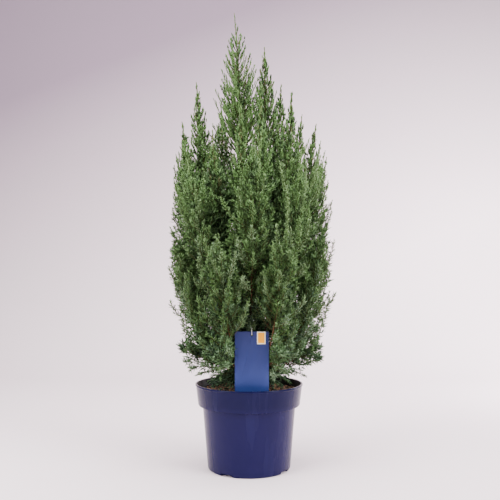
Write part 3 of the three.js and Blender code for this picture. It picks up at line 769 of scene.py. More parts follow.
def grow_plume(index, stem, start, reach, twigs, shoots, rng):
    is_leader = index < len(LEADERS)
    root, direction, length, strong = twigs_of(index, stem, start, reach)
    slack = np.where(strong, rng.normal(*STRONG_SLACK, len(root)), rng.normal(*WEAK_SLACK, len(root)))
    tip = shortened(root, root + direction * length[:, None], np.clip(slack, *SLACK_RANGE))
    tip = lifted(drawn_to_stem(tip, index, stem, start, reach), rng)
    strong_bow = LEADER_BOW if is_leader else STRONG_BOW
    bend = root + (tip - root) * np.where(strong[:, None], strong_bow, WEAK_BOW)
    mood = rng.normal(0, TWIG_MOOD, len(root))
    light = light_at(tip, stem, reach) * np.where(strong, 1, WEAK_LIGHT) + mood
    leafy = np.full(len(root), TWIG_LEAFY)
    # The leader at the top of the plume, in lengths of its stem
    for low, high in LEADER_PARTS:
        first, half_way, last = stem.at(mix(start, 1, np.array([low, (low + high) / 2, high])))
        middle = 2 * half_way - (first + last) / 2
        root, bend, tip = (np.vstack(pair) for pair in ((root, first), (bend, middle), (tip, last)))
        lit = LEADER_TIP_LIGHT if is_leader and high == 1 else LEADER_LIGHT
        grown = ((leafy, 0), (slack, 0), (strong, True), (mood, 0), (light, lit))
        leafy, slack, strong, mood, light = (np.append(*pair) for pair in grown)
    fits = ~(in_label_room(tip) | in_label_room(bend))
    if is_leader:
        thinned = THINNED_SHARES[min(index, 1)] * smooth(*THINNED_RISE, rise_in(tip, stem, start))
        fits &= (rng.uniform(0, 1, len(tip)) > thinned) | (leafy == 0)
    root, bend, tip, leafy, strong, light, mood = picked(fits, root, bend, tip, leafy, strong, light, mood)
    slack = np.clip(slack[fits], *SLACK_RANGE)
    soft = needle_softness(tip[:, 2], rng)
    twigs.add(root, bend=bend, tip=tip, leafy=leafy, soft=soft, light=light)
    slim = np.zeros(len(root))
    if is_leader:
        slim = (1 - SLIM_SHARES[min(index, 1)]) * smooth(*SLIM_RISE, rise_in(tip, stem, start))
    top = stem.at(1)[2]
    parent, root, bend, tip = side_shoots_of(root, bend, tip, rng, soft, top, strong, slack, slim)
    tip = lifted(drawn_to_stem(tip, index, stem, start, reach), rng)
    light = light_at(tip, stem, reach) * np.where(strong[parent], 1, WEAK_LIGHT) + mood[parent]
    is_tan = rng.uniform(0, 1, len(light)) < TAN_SHARE * (slim[parent] > TAN_SLIM)
    light = np.where(is_tan, LEADER_TIP_LIGHT, light)
    kept = (light > SHADE_LIGHT) | (rng.uniform(0, 1, len(light)) < SHADED_SHARE)
    kept &= ~in_label_room(tip)
    soft = np.clip(soft[parent] + rng.normal(0, SIDE_SOFT_WANDER, len(parent)), 0, 1)
    root, bend, tip, soft, light = picked(kept, root, bend, tip, soft, light)
    shoots.add(root, bend=bend, tip=tip, leafy=SIDE_LEAFY, soft=soft, light=light)


def grow_inside(inner, rng, course, reach, light=0, taper=0, slack=INNER_SLACK, first=0):
    """Shaded shoots along the trunk, a bough or a plume's stem, which close the inside of the crown."""
    count = int(course.length * (1 - first) / INNER_EVERY)
    share = mix(first, 1, (np.arange(count) + 0.5) / count)
    root = course.at(share)
    turn = GOLDEN_ANGLE * np.arange(count) + rng.uniform(0, TURN)
    lean = np.radians(rng.uniform(*INNER_LEAN, count)) * (1 - INNER_UPRIGHT * taper)
    length = reach * rng.uniform(*INNER_RANGE, count) * (1 - taper * share)
    side = polar(1, turn, np.zeros(count), middle=0)
    tip = root + leaning(np.array([[0, 0, 1]]), side, lean) * length[:, None]
    bend = (root + tip) / 2 + side * (length * INNER_ELBOW)[:, None]
    tip = lifted(shortened(root, tip, slack), rng)
    root, bend, tip = picked(leaves_front_open(tip), root, bend, tip)
    inner.add(root, bend=bend, tip=tip, leafy=INNER_LEAFY, soft=needle_softness(tip[:, 2], rng), light=light)


def grow_foot(inner, rng):
    """Short low sprays round the trunk's foot, which close the crown down to the mulch."""
    turn = GOLDEN_ANGLE * np.arange(FOOT_SPRAYS)
    root = trunk_at(rng.uniform(*FOOT_ROOTS, FOOT_SPRAYS))
    radius = rng.uniform(*FOOT_REACHES, FOOT_SPRAYS)
    tip = polar(radius, turn, rng.uniform(*FOOT_HEIGHTS, FOOT_SPRAYS))
    bend = (root + tip) / 2 + np.array([0, 0, 1]) * rng.uniform(*FOOT_ARCH, FOOT_SPRAYS)[:, None]
    root, bend, tip = picked(~in_label_room(tip), root, bend, tip)
    light = np.where(np.arange(len(root)) % FOOT_LIT_EVERY == 0, FOOT_LIGHT, 0)
    inner.add(root, bend=bend, tip=tip, leafy=FOOT_LEAFY, soft=FOOT_SOFT, light=light)


def grow_over_label(twigs, shoots, rng):
    """Sprays that hang out over the label on both sides of its hollow."""
    tip = np.array(SPRAYS_OVER_LABEL, float)
    root = trunk_at(tip[:, 2] - OVER_LABEL_DROP)
    bend = root + (tip - root) * STRONG_BOW
    twigs.add(root, bend=bend, tip=tip, leafy=OUTER_LEAFY, soft=OVER_LABEL_SOFT, light=OVER_LABEL_LIGHT)
    _, root, bend, tip = side_shoots_of(root, bend, tip, rng, OVER_LABEL_SOFT, OVER_LABEL_TOP)
    root, bend, tip = picked(~in_label_room(tip), root, bend, tip)
    light = mix(*OVER_LABEL_SIDE_LIGHT, smooth(*OVER_LABEL_LIT, -tip[:, 1]))
    shoots.add(root, bend=bend, tip=tip, leafy=SIDE_LEAFY, soft=OVER_LABEL_SOFT, light=light)


def grow_mantle(twigs, shoots, rng):
    """Upright cords all round the crown, from the nearest stems, which close the valleys between plumes."""
    turn = GOLDEN_ANGLE * np.arange(MANTLE_CORDS) + rng.normal(0, MANTLE_TURN_WANDER, MANTLE_CORDS)
    height = rng.uniform(*MANTLE_HEIGHTS, MANTLE_CORDS)
    radius = crown_reach(height) * rng.uniform(*MANTLE_REACHES, MANTLE_CORDS)
    tip = polar(radius, turn, height, middle=REACH_CENTRE_X)
    below = tip * MANTLE_INWARD - np.array([0, 0, 1]) * rng.uniform(*MANTLE_LENGTHS, MANTLE_CORDS)[:, None]
    stems = np.concatenate([stem.at(np.linspace(*MANTLE_STEM_SPAN)) for _, stem, _, _ in plumes])
    root = stems[size_of(below[:, None] - stems[None]).argmin(axis=1)]
    bend = root + (tip - root) * MANTLE_BOW
    mood = rng.normal(0, TWIG_MOOD, MANTLE_CORDS)
    light = np.maximum(surface_light(tip), MANTLE_LEAST_LIGHT) + mood
    soft = needle_softness(height, rng)
    fits = leaves_front_open(tip) & leaves_front_open(bend)
    root, bend, tip, soft, light = picked(fits, root, bend, tip, soft, light)
    twigs.add(root, bend=bend, tip=tip, leafy=OUTER_LEAFY, soft=soft, light=light)
    grown = side_shoots_of(root, bend, tip, rng, soft, MANTLE_TOP, slack=1, slim=MANTLE_SLIM)
    parent, root, bend, tip = grown
    root, bend, tip, parent = picked(leaves_front_open(tip), root, bend, tip, parent)
    shoots.add(root, bend=bend, tip=tip, leafy=SIDE_LEAFY, soft=soft[parent], light=light[parent])


def grow_crown():
    rng = np.random.default_rng(GROWTH_SEED)
    twigs, shoots, inner = Shoots(), Shoots(), Shoots()
    for index, (_, stem, start, reach) in enumerate(plumes):
        grow_plume(index, stem, start, reach, twigs, shoots, rng)
    grow_inside(inner, rng, trunk_course, TRUNK_REACH, first=TRUNK_FIRST)
    for low, high, reach in TRUNK_FILLS:
        grow_inside(inner, rng, trunk_course.stretch(low, high), reach)
    for course in bough_courses.values():
        for first, reach in BOUGH_FILLS:
            grow_inside(inner, rng, course, reach, first=first)
    for index, (_, stem, start, reach) in enumerate(plumes):
        heart = stem.stretch(start, mix(start, 1, HEART_END))
        if index < len(LEADERS):
            light, taper = LEADER_HEART_LIGHT, HEART_TAPER
            grow_inside(inner, rng, heart, reach * HEART_REACH, light, taper, slack=HEART_SLACK)
            lower_heart = stem.stretch(start, LOWER_HEART_END)
            light, taper = RING_HEART_LIGHT, LOWER_HEART_TAPER
            grow_inside(inner, rng, lower_heart, reach * LOWER_HEART_REACH, light, taper, slack=0)
        else:
            grow_inside(inner, rng, heart, reach * HEART_REACH, RING_HEART_LIGHT)
            upper_stem = stem.stretch(mix(start, 1, UPPER_STEM_START), UPPER_STEM_END)
            grow_inside(inner, rng, upper_stem, UPPER_STEM_REACH, RING_HEART_LIGHT, UPPER_STEM_TAPER)
            grow_inside(inner, rng, stem.stretch(start * BARE_STEM_START, start), BARE_STEM_REACH)
    low, high, reach = TRUNK_TOP_FILL
    grow_inside(inner, rng, trunk_course.stretch(low, high), reach)
    for low, high, reach, light, taper in CREST_FILLS:
        grow_inside(inner, rng, plumes[0][1].stretch(low, high), reach, light, taper)
    grow_foot(inner, rng)
    grow_over_label(twigs, shoots, rng)
    grow_mantle(twigs, shoots, rng)
    return twigs.all(), shoots.all(), inner.all()


# Meshes of many small things
def joined(name, points, faces, looks, look_of_face=0):
    """One mesh of triangles, with a look for each face."""
    mesh = bpy.data.meshes.new(name)
    mesh.vertices.add(len(points))
    mesh.vertices.foreach_set("co", (points * MM).astype(np.float32).ravel())
    mesh.loops.add(faces.size)
    mesh.loops.foreach_set("vertex_index", faces.astype(np.int32).ravel())
    mesh.polygons.add(len(faces))
    mesh.polygons.foreach_set("loop_start", np.arange(0, faces.size, 3, dtype=np.int32))
    mesh.polygons.foreach_set("loop_total", np.full(len(faces), 3, np.int32))
    for look in looks:
        mesh.materials.append(look)
    mesh.polygons.foreach_set("material_index", np.broadcast_to(look_of_face, len(faces)).astype(np.int32))
    mesh.update(calc_edges=True)
    piece = bpy.data.objects.new(name, mesh)
    bpy.context.scene.collection.objects.link(piece)
    return piece


def repeated(points, faces):
    """Points of many like bodies as one list, with the faces of each."""
    count, each = points.shape[:2]
    shifted = faces[None] + np.arange(count)[:, None, None] * each
    return points.reshape(-1, 3), shifted.reshape(-1, 3)


def tapered_twigs(root, bend, tip, radius, tip_radius, sides, stations):
    """Slim round twigs with a closed foot, each drawn to a point."""
    rings = []
    for share in np.linspace(0, 1, stations)[:-1]:
        centre, heading = along(root, bend, tip, share)
        square = unit(np.cross(heading, SHOOT_ASIDE))
        wide = np.broadcast_to(mix(radius, tip_radius, share), len(root))[:, None]
        rings += [centre + turned_about(square, heading, TURN * k / sides) * wide for k in range(sides)]
    rings.append(tip)
    faces = [(0, k + 1, k) for k in range(1, sides - 1)]
    for ring in range(stations - 2):
        for k in range(sides):
            a, b = ring * sides + k, ring * sides + (k + 1) % sides
            faces += [(a, b, b + sides), (a, b + sides, a + sides)]
    last = (stations - 2) * sides
    faces += [(last + k, last + (k + 1) % sides, (stations - 1) * sides) for k in range(sides)]
    return repeated(np.stack(rings, axis=1), np.array(faces))


# A needle is a slim four-sided body: root, tip, and two corners of its broad upper face
NEEDLE_FACES = np.array([(0, 2, 3), (1, 3, 2), (0, 1, 2), (0, 3, 1)])
NEEDLE_LOOKS = np.array([1, 1, 0, 0])


def needles_on(shoots, rng):
    """Whorls of three needles along every shoot, and the shoot that each needle belongs to."""
    marks = [shoots[key] for key in ("root", "bend", "tip")]
    leafy, soft = shoots["leafy"], shoots["soft"]
    shaded = 1 - smooth(*NEEDLE_SHADE, shoots["light"])
    apart = mix(*WHORLS_APART, soft) * mix(1, SHADED_APART, shaded)
    counts = np.maximum((size_of(marks[2] - marks[0]) * (1 - leafy) / apart).astype(int), 2)
    owner, order = numbered(counts)
    share = mix(leafy[owner], 1, (order + FIRST_WHORL) / counts[owner])
    owner, order, share = (np.repeat(values, 3) for values in (owner, order, share))
    leg = np.tile(np.arange(3), len(owner) // 3)
    point, heading = along(*(mark[owner] for mark in marks), share)
    turn = TURN * leg / 3 + TURN / 6 * (order % 2) + owner + rng.normal(0, NEEDLE_TURN_WANDER, len(owner))
    outward = turned_about(unit(np.cross(heading, SHOOT_ASIDE)), heading, turn)
    soft = soft[owner]
    coarse = mix(1, SHADED_SIZE, shaded[owner])
    closing = smooth(*CLOSING, share)
    spread = np.radians(mix(*NEEDLE_SPREAD, soft) * mix(1, CLOSED_SPREAD, closing))
    spread = spread * rng.uniform(*NEEDLE_SPREAD_RANGE, len(owner))
    size = mix(*NEEDLE_LENGTH, soft) * mix(1, CLOSED_LENGTH, closing)
    size = size * rng.uniform(*NEEDLE_LENGTH_RANGE, len(owner)) * coarse
    direction = leaning(heading, outward, spread)
    upper = leaning(-outward, heading, spread)
    across = np.cross(direction, upper) * (mix(*NEEDLE_HALF_WIDTH, soft) * coarse)[:, None]
    middle = point + direction * (size * NEEDLE_BODY)[:, None] + upper * NEEDLE_LIFT
    end = point + direction * size[:, None] + upper * (size * NEEDLE_INCURVE)[:, None]
    return np.stack([point, end, middle + across, middle - across], axis=1), owner


# Finishes
def srgb(red, green, blue):
    """A display colour from 0 to 255 as a linear one."""

    def linear(share):
        return share / 12.92 if share <= 0.04045 else ((share + 0.055) / 1.055) ** 2.4

    return (*(linear(value / 255) for value in (red, green, blue)), 1)


class Value:
    """A shader socket that can be added, subtracted and multiplied like a number."""

    def __init__(self, finish, socket):
        self.finish = finish
        self.socket = socket

    def maths(self, operation, *values):
        return self.finish.add("ShaderNodeMath", {"operation": operation}, dict(enumerate(values)))

    def __add__(self, other):
        return self.maths("ADD", self, other)

    def __radd__(self, other):
        return self.maths("ADD", other, self)

    def __sub__(self, other):
        return self.maths("SUBTRACT", self, other)

    def __rsub__(self, other):
        return self.maths("SUBTRACT", other, self)

    def __mul__(self, other):
        return self.maths("MULTIPLY", self, other)

    def __rmul__(self, other):
        return self.maths("MULTIPLY", other, self)

    def clamped(self):
        return self.maths("MINIMUM", self.maths("MAXIMUM", self, 0), 1)


class Finish:
    """A material: its shader's constants, and the nodes that vary its colour, roughness and relief."""

    def __init__(self, name, colour, roughness, constants=None):
        self.material = bpy.data.materials.new(name)
        self.material.use_nodes = True
        self.tree = self.material.node_tree
        self.shader = self.tree.nodes["Principled BSDF"]
        constants = {"Base Color": colour, "Roughness": roughness, **(constants or {})}
        for socket, value in constants.items():
            self.shader.inputs[socket].default_value = value

    def add(self, kind, settings, inputs, output=0):
        node = self.tree.nodes.new(kind)
        for name, value in settings.items():
            setattr(node, name, value)
        for name, value in inputs.items():
            if isinstance(value, Value):
                self.tree.links.new(value.socket, node.inputs[name])
            else:
                node.inputs[name].default_value = value
        return Value(self, node.outputs[output])

    def place(self, stretch=(1, 1, 1)):
        spot = self.add("ShaderNodeTexCoord", {}, {}, output="Object")
        return self.add("ShaderNodeMapping", {}, {"Vector": spot, "Scale": stretch})

    def axis(self, name):
        return self.add("ShaderNodeSeparateXYZ", {}, {"Vector": self.place()}, output=name)

    def grain(self, scale, detail, stretch=(1, 1, 1)):
        inputs = {"Vector": self.place(stretch), "Scale": scale, "Detail": detail}
        return self.add("ShaderNodeTexNoise", {}, inputs)

    def blend(self, share, low, high):
        """A mix of two colours. Its sockets are counted, because other kinds of value share their names."""
        return self.add("ShaderNodeMix", {"data_type": "RGBA"}, {0: share, 6: low, 7: high}, output=2)

    def link(self, socket, value):
        self.tree.links.new(value.socket, self.shader.inputs[socket])

    def relief(self, height, distance, strength=1.0):
        inputs = {"Height": height, "Distance": distance, "Strength": strength}
        self.link("Normal", self.add("ShaderNodeBump", {}, inputs))


def pot_plastic():
    finish = Finish("pot_plastic", srgb(22, 20, 66), 0.26, {"Specular IOR Level": 0.09})
    cloud = finish.grain(scale=9, detail=4)
    fleck = finish.grain(scale=260, detail=2)
    scuff = ((finish.grain(34, 6, stretch=(1, 1, 0.12)) - 0.56) * 6).clamped()
    # Painted shade: the collar above its foot is blended into a darker blue.
    collar = ((finish.axis("Z") - COLLAR_FOOT_HEIGHT * MM) * (1 / (COLLAR_SHADE_RISE * MM))).clamped()
    body = finish.blend(cloud, srgb(17, 16, 53), srgb(25, 22, 65))
    shade = finish.blend(collar, body, srgb(13, 13, 50))
    finish.link("Base Color", finish.blend(scuff * 0.1, shade, srgb(50, 52, 100)))
    finish.link("Roughness", 0.22 + cloud * 0.08 + scuff * 0.05)
    finish.relief(fleck * 0.3 + cloud, 0.0002, 0.35)
    return finish.material


def pot_inside_plastic():
    finish = Finish("pot_inside_plastic", srgb(18, 18, 22), 0.5)
    dust = finish.grain(scale=60, detail=5)
    finish.link("Base Color", finish.blend((dust * 2 - 0.8).clamped(), srgb(16, 16, 20), srgb(46, 40, 36)))
    finish.relief(dust, 0.0003, 0.4)
    return finish.material


def soil_mulch():
    finish = Finish("soil_mulch", srgb(62, 46, 36), 0.95)
    clods = finish.grain(scale=95, detail=6)
    crumbs = finish.grain(scale=420, detail=4)
    damp = finish.blend((clods * 2.2 - 0.6).clamped(), srgb(36, 28, 22), srgb(88, 68, 48))
    finish.link("Base Color", finish.blend((crumbs * 2 - 0.8).clamped() * 0.5, damp, srgb(110, 90, 64)))
    finish.relief(clods + crumbs * 0.6, 0.003)
    return finish.material


def limb_bark():
    dark, light = srgb(70, 46, 34), srgb(150, 104, 78)
    finish = Finish("bark", light, 0.88)
    strips = finish.grain(300, 5, stretch=(1, 1, 0.1))
    patches = finish.grain(50, 3, stretch=(1, 1, 0.4))
    lit = finish.blend((strips * 2.4 - 0.75).clamped(), dark, light)
    finish.link("Base Color", finish.blend((patches * 1.6 - 0.5).clamped() * 0.5, lit, dark))
    finish.relief(strips, 0.0012)
    return finish.material


def card_print():
    finish = Finish("card_print", srgb(58, 84, 150), 0.5, {"Specular IOR Level": 0.25})
    # Painted shade, graded by height: the card is a greyer blue at its top and a deeper blue low down, with a
    # random mottle in the print.
    low = (CARD_TOP * MM - finish.axis("Z")) * (1 / (CARD_SHADE_FADE * MM))
    mottle = finish.grain(scale=18, detail=3)
    shade = (low * 0.85 + mottle * 0.3 - 0.1).clamped()
    finish.link("Base Color", finish.blend(shade, srgb(56, 62, 112), srgb(36, 58, 124)))
    finish.relief(finish.grain(scale=700, detail=2), 0.00004, 0.3)
    return finish.material


def printed(name, colour, glow, strength):
    """Bright ink, with a painted glow: a little light of its own."""
    finish = Finish(name, colour, 0.5, {"Emission Color": glow, "Emission Strength": strength})
    finish.relief(finish.grain(scale=900, detail=2), 0.00003, 0.3)
    return finish.material


def tie_plastic():
    finish = Finish("tie_plastic", srgb(250, 250, 246), 0.42)
    finish.relief(finish.grain(scale=600, detail=2), 0.00005, 0.4)
    return finish.material


def plain(name, colour, roughness, gloss):
    """One colour, for growth too fine to show a pattern."""
    return Finish(name, srgb(*colour), roughness, {"Specular IOR Level": gloss}).material


def needle_look(name, under, upper):
    return [plain(name, under, 0.66, 0.22), plain(name + "_upper", upper, 0.74, 0.2)]


POT_PLASTIC = pot_plastic()
POT_INSIDE = pot_inside_plastic()
SOIL_MULCH = soil_mulch()
BARK = limb_bark()
STEM_BARK = plain("stem_bark", (104, 72, 52), 0.88, 0.2)
TWIG_BARK = plain("twig_bark", (80, 80, 46), 0.85, 0.2)
GREEN_SHOOT = plain("green_shoot", (84, 98, 46), 0.7, 0.2)
CARD_PRINT = card_print()
# The tab's amber and its pale border glow a little: painted light.
TAB_AMBER = printed("tab_amber", srgb(255, 172, 0), srgb(255, 160, 0), 0.35)
TAB_BORDER = printed("tab_border", srgb(255, 250, 220), srgb(130, 118, 84), 0.3)
TIE_PLASTIC = tie_plastic()

# Tones of the sprays, under and upper, as painted shade and light: from the shaded inside of the crown to its
# sunlit tips. TONE_STEPS is the light at which each gives way to the next. Young sprays low down are bluer by
# YOUNG_SHIFT.
NEEDLE_TONES = {
    "dusk": ((70, 96, 54), (84, 110, 70)),
    "deep": ((90, 124, 64), (106, 140, 84)),
    "green": ((102, 136, 74), (120, 152, 98)),
    "sage": ((108, 138, 80), (128, 154, 108)),
    # The palest tone, for the most lit sprays: the needles' pale bloom and a painted highlight
    "frost_and_highlight": ((114, 141, 90), (138, 163, 121)),
    "tan": ((112, 116, 70), (140, 142, 102)),
}
TONE_STEPS = (0.16, 0.36, 0.6, 0.9, 1.5)
TONE_WANDER = 0.035
YOUNG_TONES = ("dusk", "deep", "green", "sage")
YOUNG_SHIFT = (-3, -4, 9)
YOUNG_BELOW = 310
YOUNG_WANDER = 65
TONES = {name: needle_look("needles_" + name, *tones) for name, tones in NEEDLE_TONES.items()}
for name in YOUNG_TONES:
    tones = (np.add(colour, YOUNG_SHIFT) for colour in NEEDLE_TONES[name])
    TONES["young_" + name] = needle_look("needles_young_" + name, *tones)


# Modelling by hand
def started(name):
    """The piece that a primitive has just made, named."""
    piece = bpy.context.object
    piece.name = name
    piece.data.name = name
    return piece


def clear_choice():
    bpy.ops.object.select_all(action="DESELECT")


def choose(piece):
    clear_choice()
    piece.select_set(True)
    bpy.context.view_layer.objects.active = piece


def select_edges(piece, wanted):
    """Edit mode, with the edges selected whose two ends pass a test."""
    choose(piece)
    bpy.ops.object.mode_set(mode="EDIT")
    bpy.ops.mesh.select_mode(type="EDGE")
    bpy.ops.mesh.select_all(action="DESELECT")
    bpy.ops.object.mode_set(mode="OBJECT")
    for edge in piece.data.edges:
        edge.select = wanted(*(piece.data.vertices[k].co for k in edge.vertices))
    bpy.ops.object.mode_set(mode="EDIT")


def clean_up(piece, weld=0):
    """Corners closer than the weld joined, and all faces turned outwards."""
    choose(piece)
    bpy.ops.object.mode_set(mode="EDIT")
    bpy.ops.mesh.select_all(action="SELECT")
    if weld:
        bpy.ops.mesh.remove_doubles(threshold=weld * MM)
    bpy.ops.mesh.normals_make_consistent(inside=False)
    bpy.ops.object.mode_set(mode="OBJECT")


def settle(piece):
    """Its place goes into its mesh."""
    choose(piece)
    bpy.ops.object.transform_apply(location=True, rotation=True, scale=True)


def apply_modifier(piece, kind, **settings):
    choose(piece)
    modifier = piece.modifiers.new("shaping", kind)
    for key, value in settings.items():
        setattr(modifier, key, value)
    bpy.ops.object.modifier_apply(modifier="shaping")


def bevelled(piece, width, angle=30, segments=2):
    limits = {"limit_method": "ANGLE", "angle_limit": math.radians(angle)}
    apply_modifier(piece, "BEVEL", width=width * MM, segments=segments, **limits)


def cut(piece, cutter):
    apply_modifier(piece, "BOOLEAN", object=cutter, operation="DIFFERENCE", solver="EXACT")
    bpy.data.objects.remove(cutter)


def shade_smooth(piece, angle=None):
    """Soft shading all over, or only across edges flatter than an angle in degrees."""
    choose(piece)
    if angle:
        bpy.ops.object.shade_smooth_by_angle(angle=math.radians(angle))
    else:
        bpy.ops.object.shade_smooth()


def in_metres(*millimetres):
    return tuple(value * MM for value in millimetres)


def block(name, middle, size, turn=0.0):
    """A cuboid to be cut, bevelled or cut with."""
    clear_choice()
    bpy.ops.mesh.primitive_cube_add(size=1, location=in_metres(*middle), rotation=(0, 0, turn))
    piece = started(name)
    piece.scale = in_metres(*size)
    settle(piece)
    return piece


def turned(name, rings, sides):
    """A body of revolution, drawn up ring by ring from a disc."""
    radius, height = rings[0]
    clear_choice()
    place = in_metres(0, 0, height)
    bpy.ops.mesh.primitive_circle_add(vertices=sides, radius=radius * MM, fill_type="NGON", location=place)
    piece = started(name)
    bpy.ops.object.mode_set(mode="EDIT")
    bpy.ops.mesh.select_all(action="SELECT")
    for wide, high in rings[1:]:
        bpy.ops.mesh.extrude_region_move(TRANSFORM_OT_translate={"value": in_metres(0, 0, high - height)})
        grow = wide / radius
        bpy.ops.transform.resize(value=(grow, grow, 1), center_override=in_metres(0, 0, high))
        radius, height = wide, high
    bpy.ops.object.mode_set(mode="OBJECT")
    settle(piece)
    clean_up(piece)
    return piece


def dress(piece, slot, *nodes):
    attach(piece, "root")
    if nodes:
        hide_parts(*nodes)


def make_pot():
    foot_inside = BODY_FOOT_RADIUS - FOOT_RING_WIDTH
    lip_inside = RIM_RADIUS - LIP_BEAD - WALL
    rings = [
        (CENTRE_PAD_RADIUS, 0),
        (CENTRE_PAD_RADIUS + BASE_LIFT / 2, BASE_LIFT),
        (foot_inside, BASE_LIFT),
        (foot_inside + 0.4, 0),
        (BODY_FOOT_RADIUS - FOOT_CORNER, 0),
        (BODY_FOOT_RADIUS - 1.2, 1.1),
        (BODY_FOOT_RADIUS, FOOT_CORNER),
        (BODY_TOP_RADIUS, COLLAR_FOOT_HEIGHT - 0.4),
        (BODY_TOP_RADIUS + 0.8, COLLAR_FOOT_HEIGHT),
        (COLLAR_FOOT_RADIUS - COLLAR_CORNER / 2, COLLAR_FOOT_HEIGHT + 0.6),
        (COLLAR_FOOT_RADIUS - 1.2, COLLAR_FOOT_HEIGHT + 1.8),
        (COLLAR_FOOT_RADIUS, COLLAR_FOOT_HEIGHT + COLLAR_CORNER / 2),
        (RIM_RADIUS - LIP_BEAD, POT_HEIGHT - 3 * LIP_BEAD),
        (RIM_RADIUS - 0.2, POT_HEIGHT - 2.2 * LIP_BEAD),
        (RIM_RADIUS, POT_HEIGHT - LIP_BEAD),
        (RIM_RADIUS - 0.3, POT_HEIGHT - 0.4 * LIP_BEAD),
        (RIM_RADIUS - LIP_BEAD / 2, POT_HEIGHT),
        (lip_inside + 0.6, POT_HEIGHT),
        (lip_inside, POT_HEIGHT - 0.6),
        (COLLAR_FOOT_RADIUS - WALL, COLLAR_FOOT_HEIGHT + COLLAR_CORNER),
        (BODY_TOP_RADIUS - WALL, COLLAR_FOOT_HEIGHT + WALL + 1),
        (BODY_FOOT_RADIUS - WALL, BASE_LIFT + WALL),
    ]
    pot = turned("nursery_pot", rings, POT_SIDES)
    for i in range(DRAIN_NOTCHES):
        angle = FIRST_NOTCH + TURN * i / DRAIN_NOTCHES
        middle = polar(BODY_FOOT_RADIUS + FOOT_RING_WIDTH / 2, angle, 0, middle=0)
        cut(pot, block("notch_cutter", middle, (3 * FOOT_RING_WIDTH, NOTCH_WIDTH, 2 * NOTCH_HEIGHT), angle))
    bevelled(pot, POT_EDGE, angle=40)
    pot.data.materials.clear()
    pot.data.materials.append(POT_PLASTIC)
    pot.data.materials.append(POT_INSIDE)
    for face in pot.data.polygons:
        middle = face.center
        outward = Vector((middle.x, middle.y, 0)).normalized().dot(face.normal)
        wall_inside = outward < -0.3 and middle.z > BASE_LIFT * MM
        near_floor = middle.z < POT_FLOOR_BELOW * MM and middle.xy.length < POT_FLOOR_RADIUS * MM
        floor_inside = face.normal.z > 0.7 and near_floor
        face.material_index = 1 if wall_inside or floor_inside else 0
    shade_smooth(pot, angle=35)
    dress(pot, "pot_plastic", "pot")


def mulch_lift(spot):
    """How far the mulch stands over its level at a spot."""
    edge = max(0, spot.xy.length / MM - SOIL_EDGE_START) / SOIL_EDGE_WIDTH
    lump = sum(noise.noise(spot * scale) * height for scale, height in SOIL_LUMPS)
    return lump - SOIL_SUNK - SOIL_EDGE_DROP * edge


def make_soil():
    """Mulch that fills the pot."""
    gap = WALL + SOIL_GAP
    rings = [
        (BODY_FOOT_RADIUS - gap, BASE_LIFT + gap),
        (BODY_TOP_RADIUS - gap, COLLAR_FOOT_HEIGHT + gap + 1),
        (COLLAR_FOOT_RADIUS - gap, COLLAR_FOOT_HEIGHT + COLLAR_CORNER + SOIL_GAP),
    ]
    rings += [(SOIL_TOP_RADIUS * (1 - i / SOIL_RINGS), SOIL_LEVEL) for i in range(SOIL_RINGS)]
    soil = turned("mulch", rings, SOIL_SIDES)
    soil.data.materials.append(SOIL_MULCH)
    for vertex in soil.data.vertices:
        if vertex.co.z > (SOIL_LEVEL - 1) * MM:
            vertex.co.z += mulch_lift(vertex.co) * MM
    shade_smooth(soil)
    dress(soil, "soil_mulch", "soil")


# A bark crumb is a rough wedge of eight corners
CRUMB_CORNERS = np.array([
    (-1, -1, -1), (1, -0.8, -1), (0.9, 1, -1), (-0.8, 0.9, -1),
    (-0.8, -0.7, 1), (0.7, -0.9, 0.8), (1, 0.6, 0.9), (-0.9, 0.7, 1),
])
CRUMB_FACES = np.array([
    (0, 2, 1), (0, 3, 2), (4, 5, 6), (4, 6, 7), (0, 1, 5), (0, 5, 4),
    (1, 2, 6), (1, 6, 5), (2, 3, 7), (2, 7, 6), (3, 0, 4), (3, 4, 7),
])


def turned_flat(first, second, angle):
    """Two coordinates, turned in their plane."""
    cosine, sine = np.cos(angle)[:, None], np.sin(angle)[:, None]
    return first * cosine - second * sine, first * sine + second * cosine


def strew_mulch():
    """Crumbs strewn on the mulch, each turned its own way."""
    rng = np.random.default_rng(CRUMB_SEED)
    for kind, colour, count, size, spread, middle in CRUMBS:
        angle = rng.uniform(0, TURN, count)
        radius = np.sqrt(rng.uniform(0, 1, count)) * CRUMBS_WITHIN * spread
        x, y = middle[0] + radius * np.cos(angle), middle[1] + radius * np.sin(angle)
        inside = (np.hypot(x, y) < CRUMBS_WITHIN) & (np.hypot(x, y) > CRUMBS_CLEAR_OF_TRUNK)
        beside, before = CRUMBS_CLEAR_OF_CARD
        inside &= (np.abs(x - CARD_X) >= CARD_WIDTH / 2 + beside) | (np.abs(y - CARD_Y) >= before)
        x, y = picked(inside, x, y)
        count = len(x)
        half = rng.uniform(*CRUMB_SIZE_RANGE, (count, 3)) * np.array(size) / 2
        yaw = rng.uniform(0, TURN, count)
        tilt = rng.normal(0, CRUMB_TILT, count)
        corners = CRUMB_CORNERS[None] * half[:, None]
        corners = corners + rng.normal(0, CRUMB_ROUGHNESS, corners.shape) * half[:, None]
        level, raised = turned_flat(corners[..., 0], corners[..., 2], tilt)
        level, across = turned_flat(level, corners[..., 1], yaw)
        spots = [Vector((px, py, SOIL_LEVEL)) * MM for px, py in zip(x, y)]
        ground = SOIL_LEVEL + np.array([mulch_lift(spot) for spot in spots])[:, None]
        raised = raised + ground + half[:, 2:3] * CRUMB_STANDS_UP
        points = np.stack([level + x[:, None], across + y[:, None], raised], axis=-1)
        look = Finish("crumb_" + kind, srgb(*colour), 0.93).material
        dress(joined("crumbs_" + kind, *repeated(points, CRUMB_FACES), [look]), "soil_mulch")


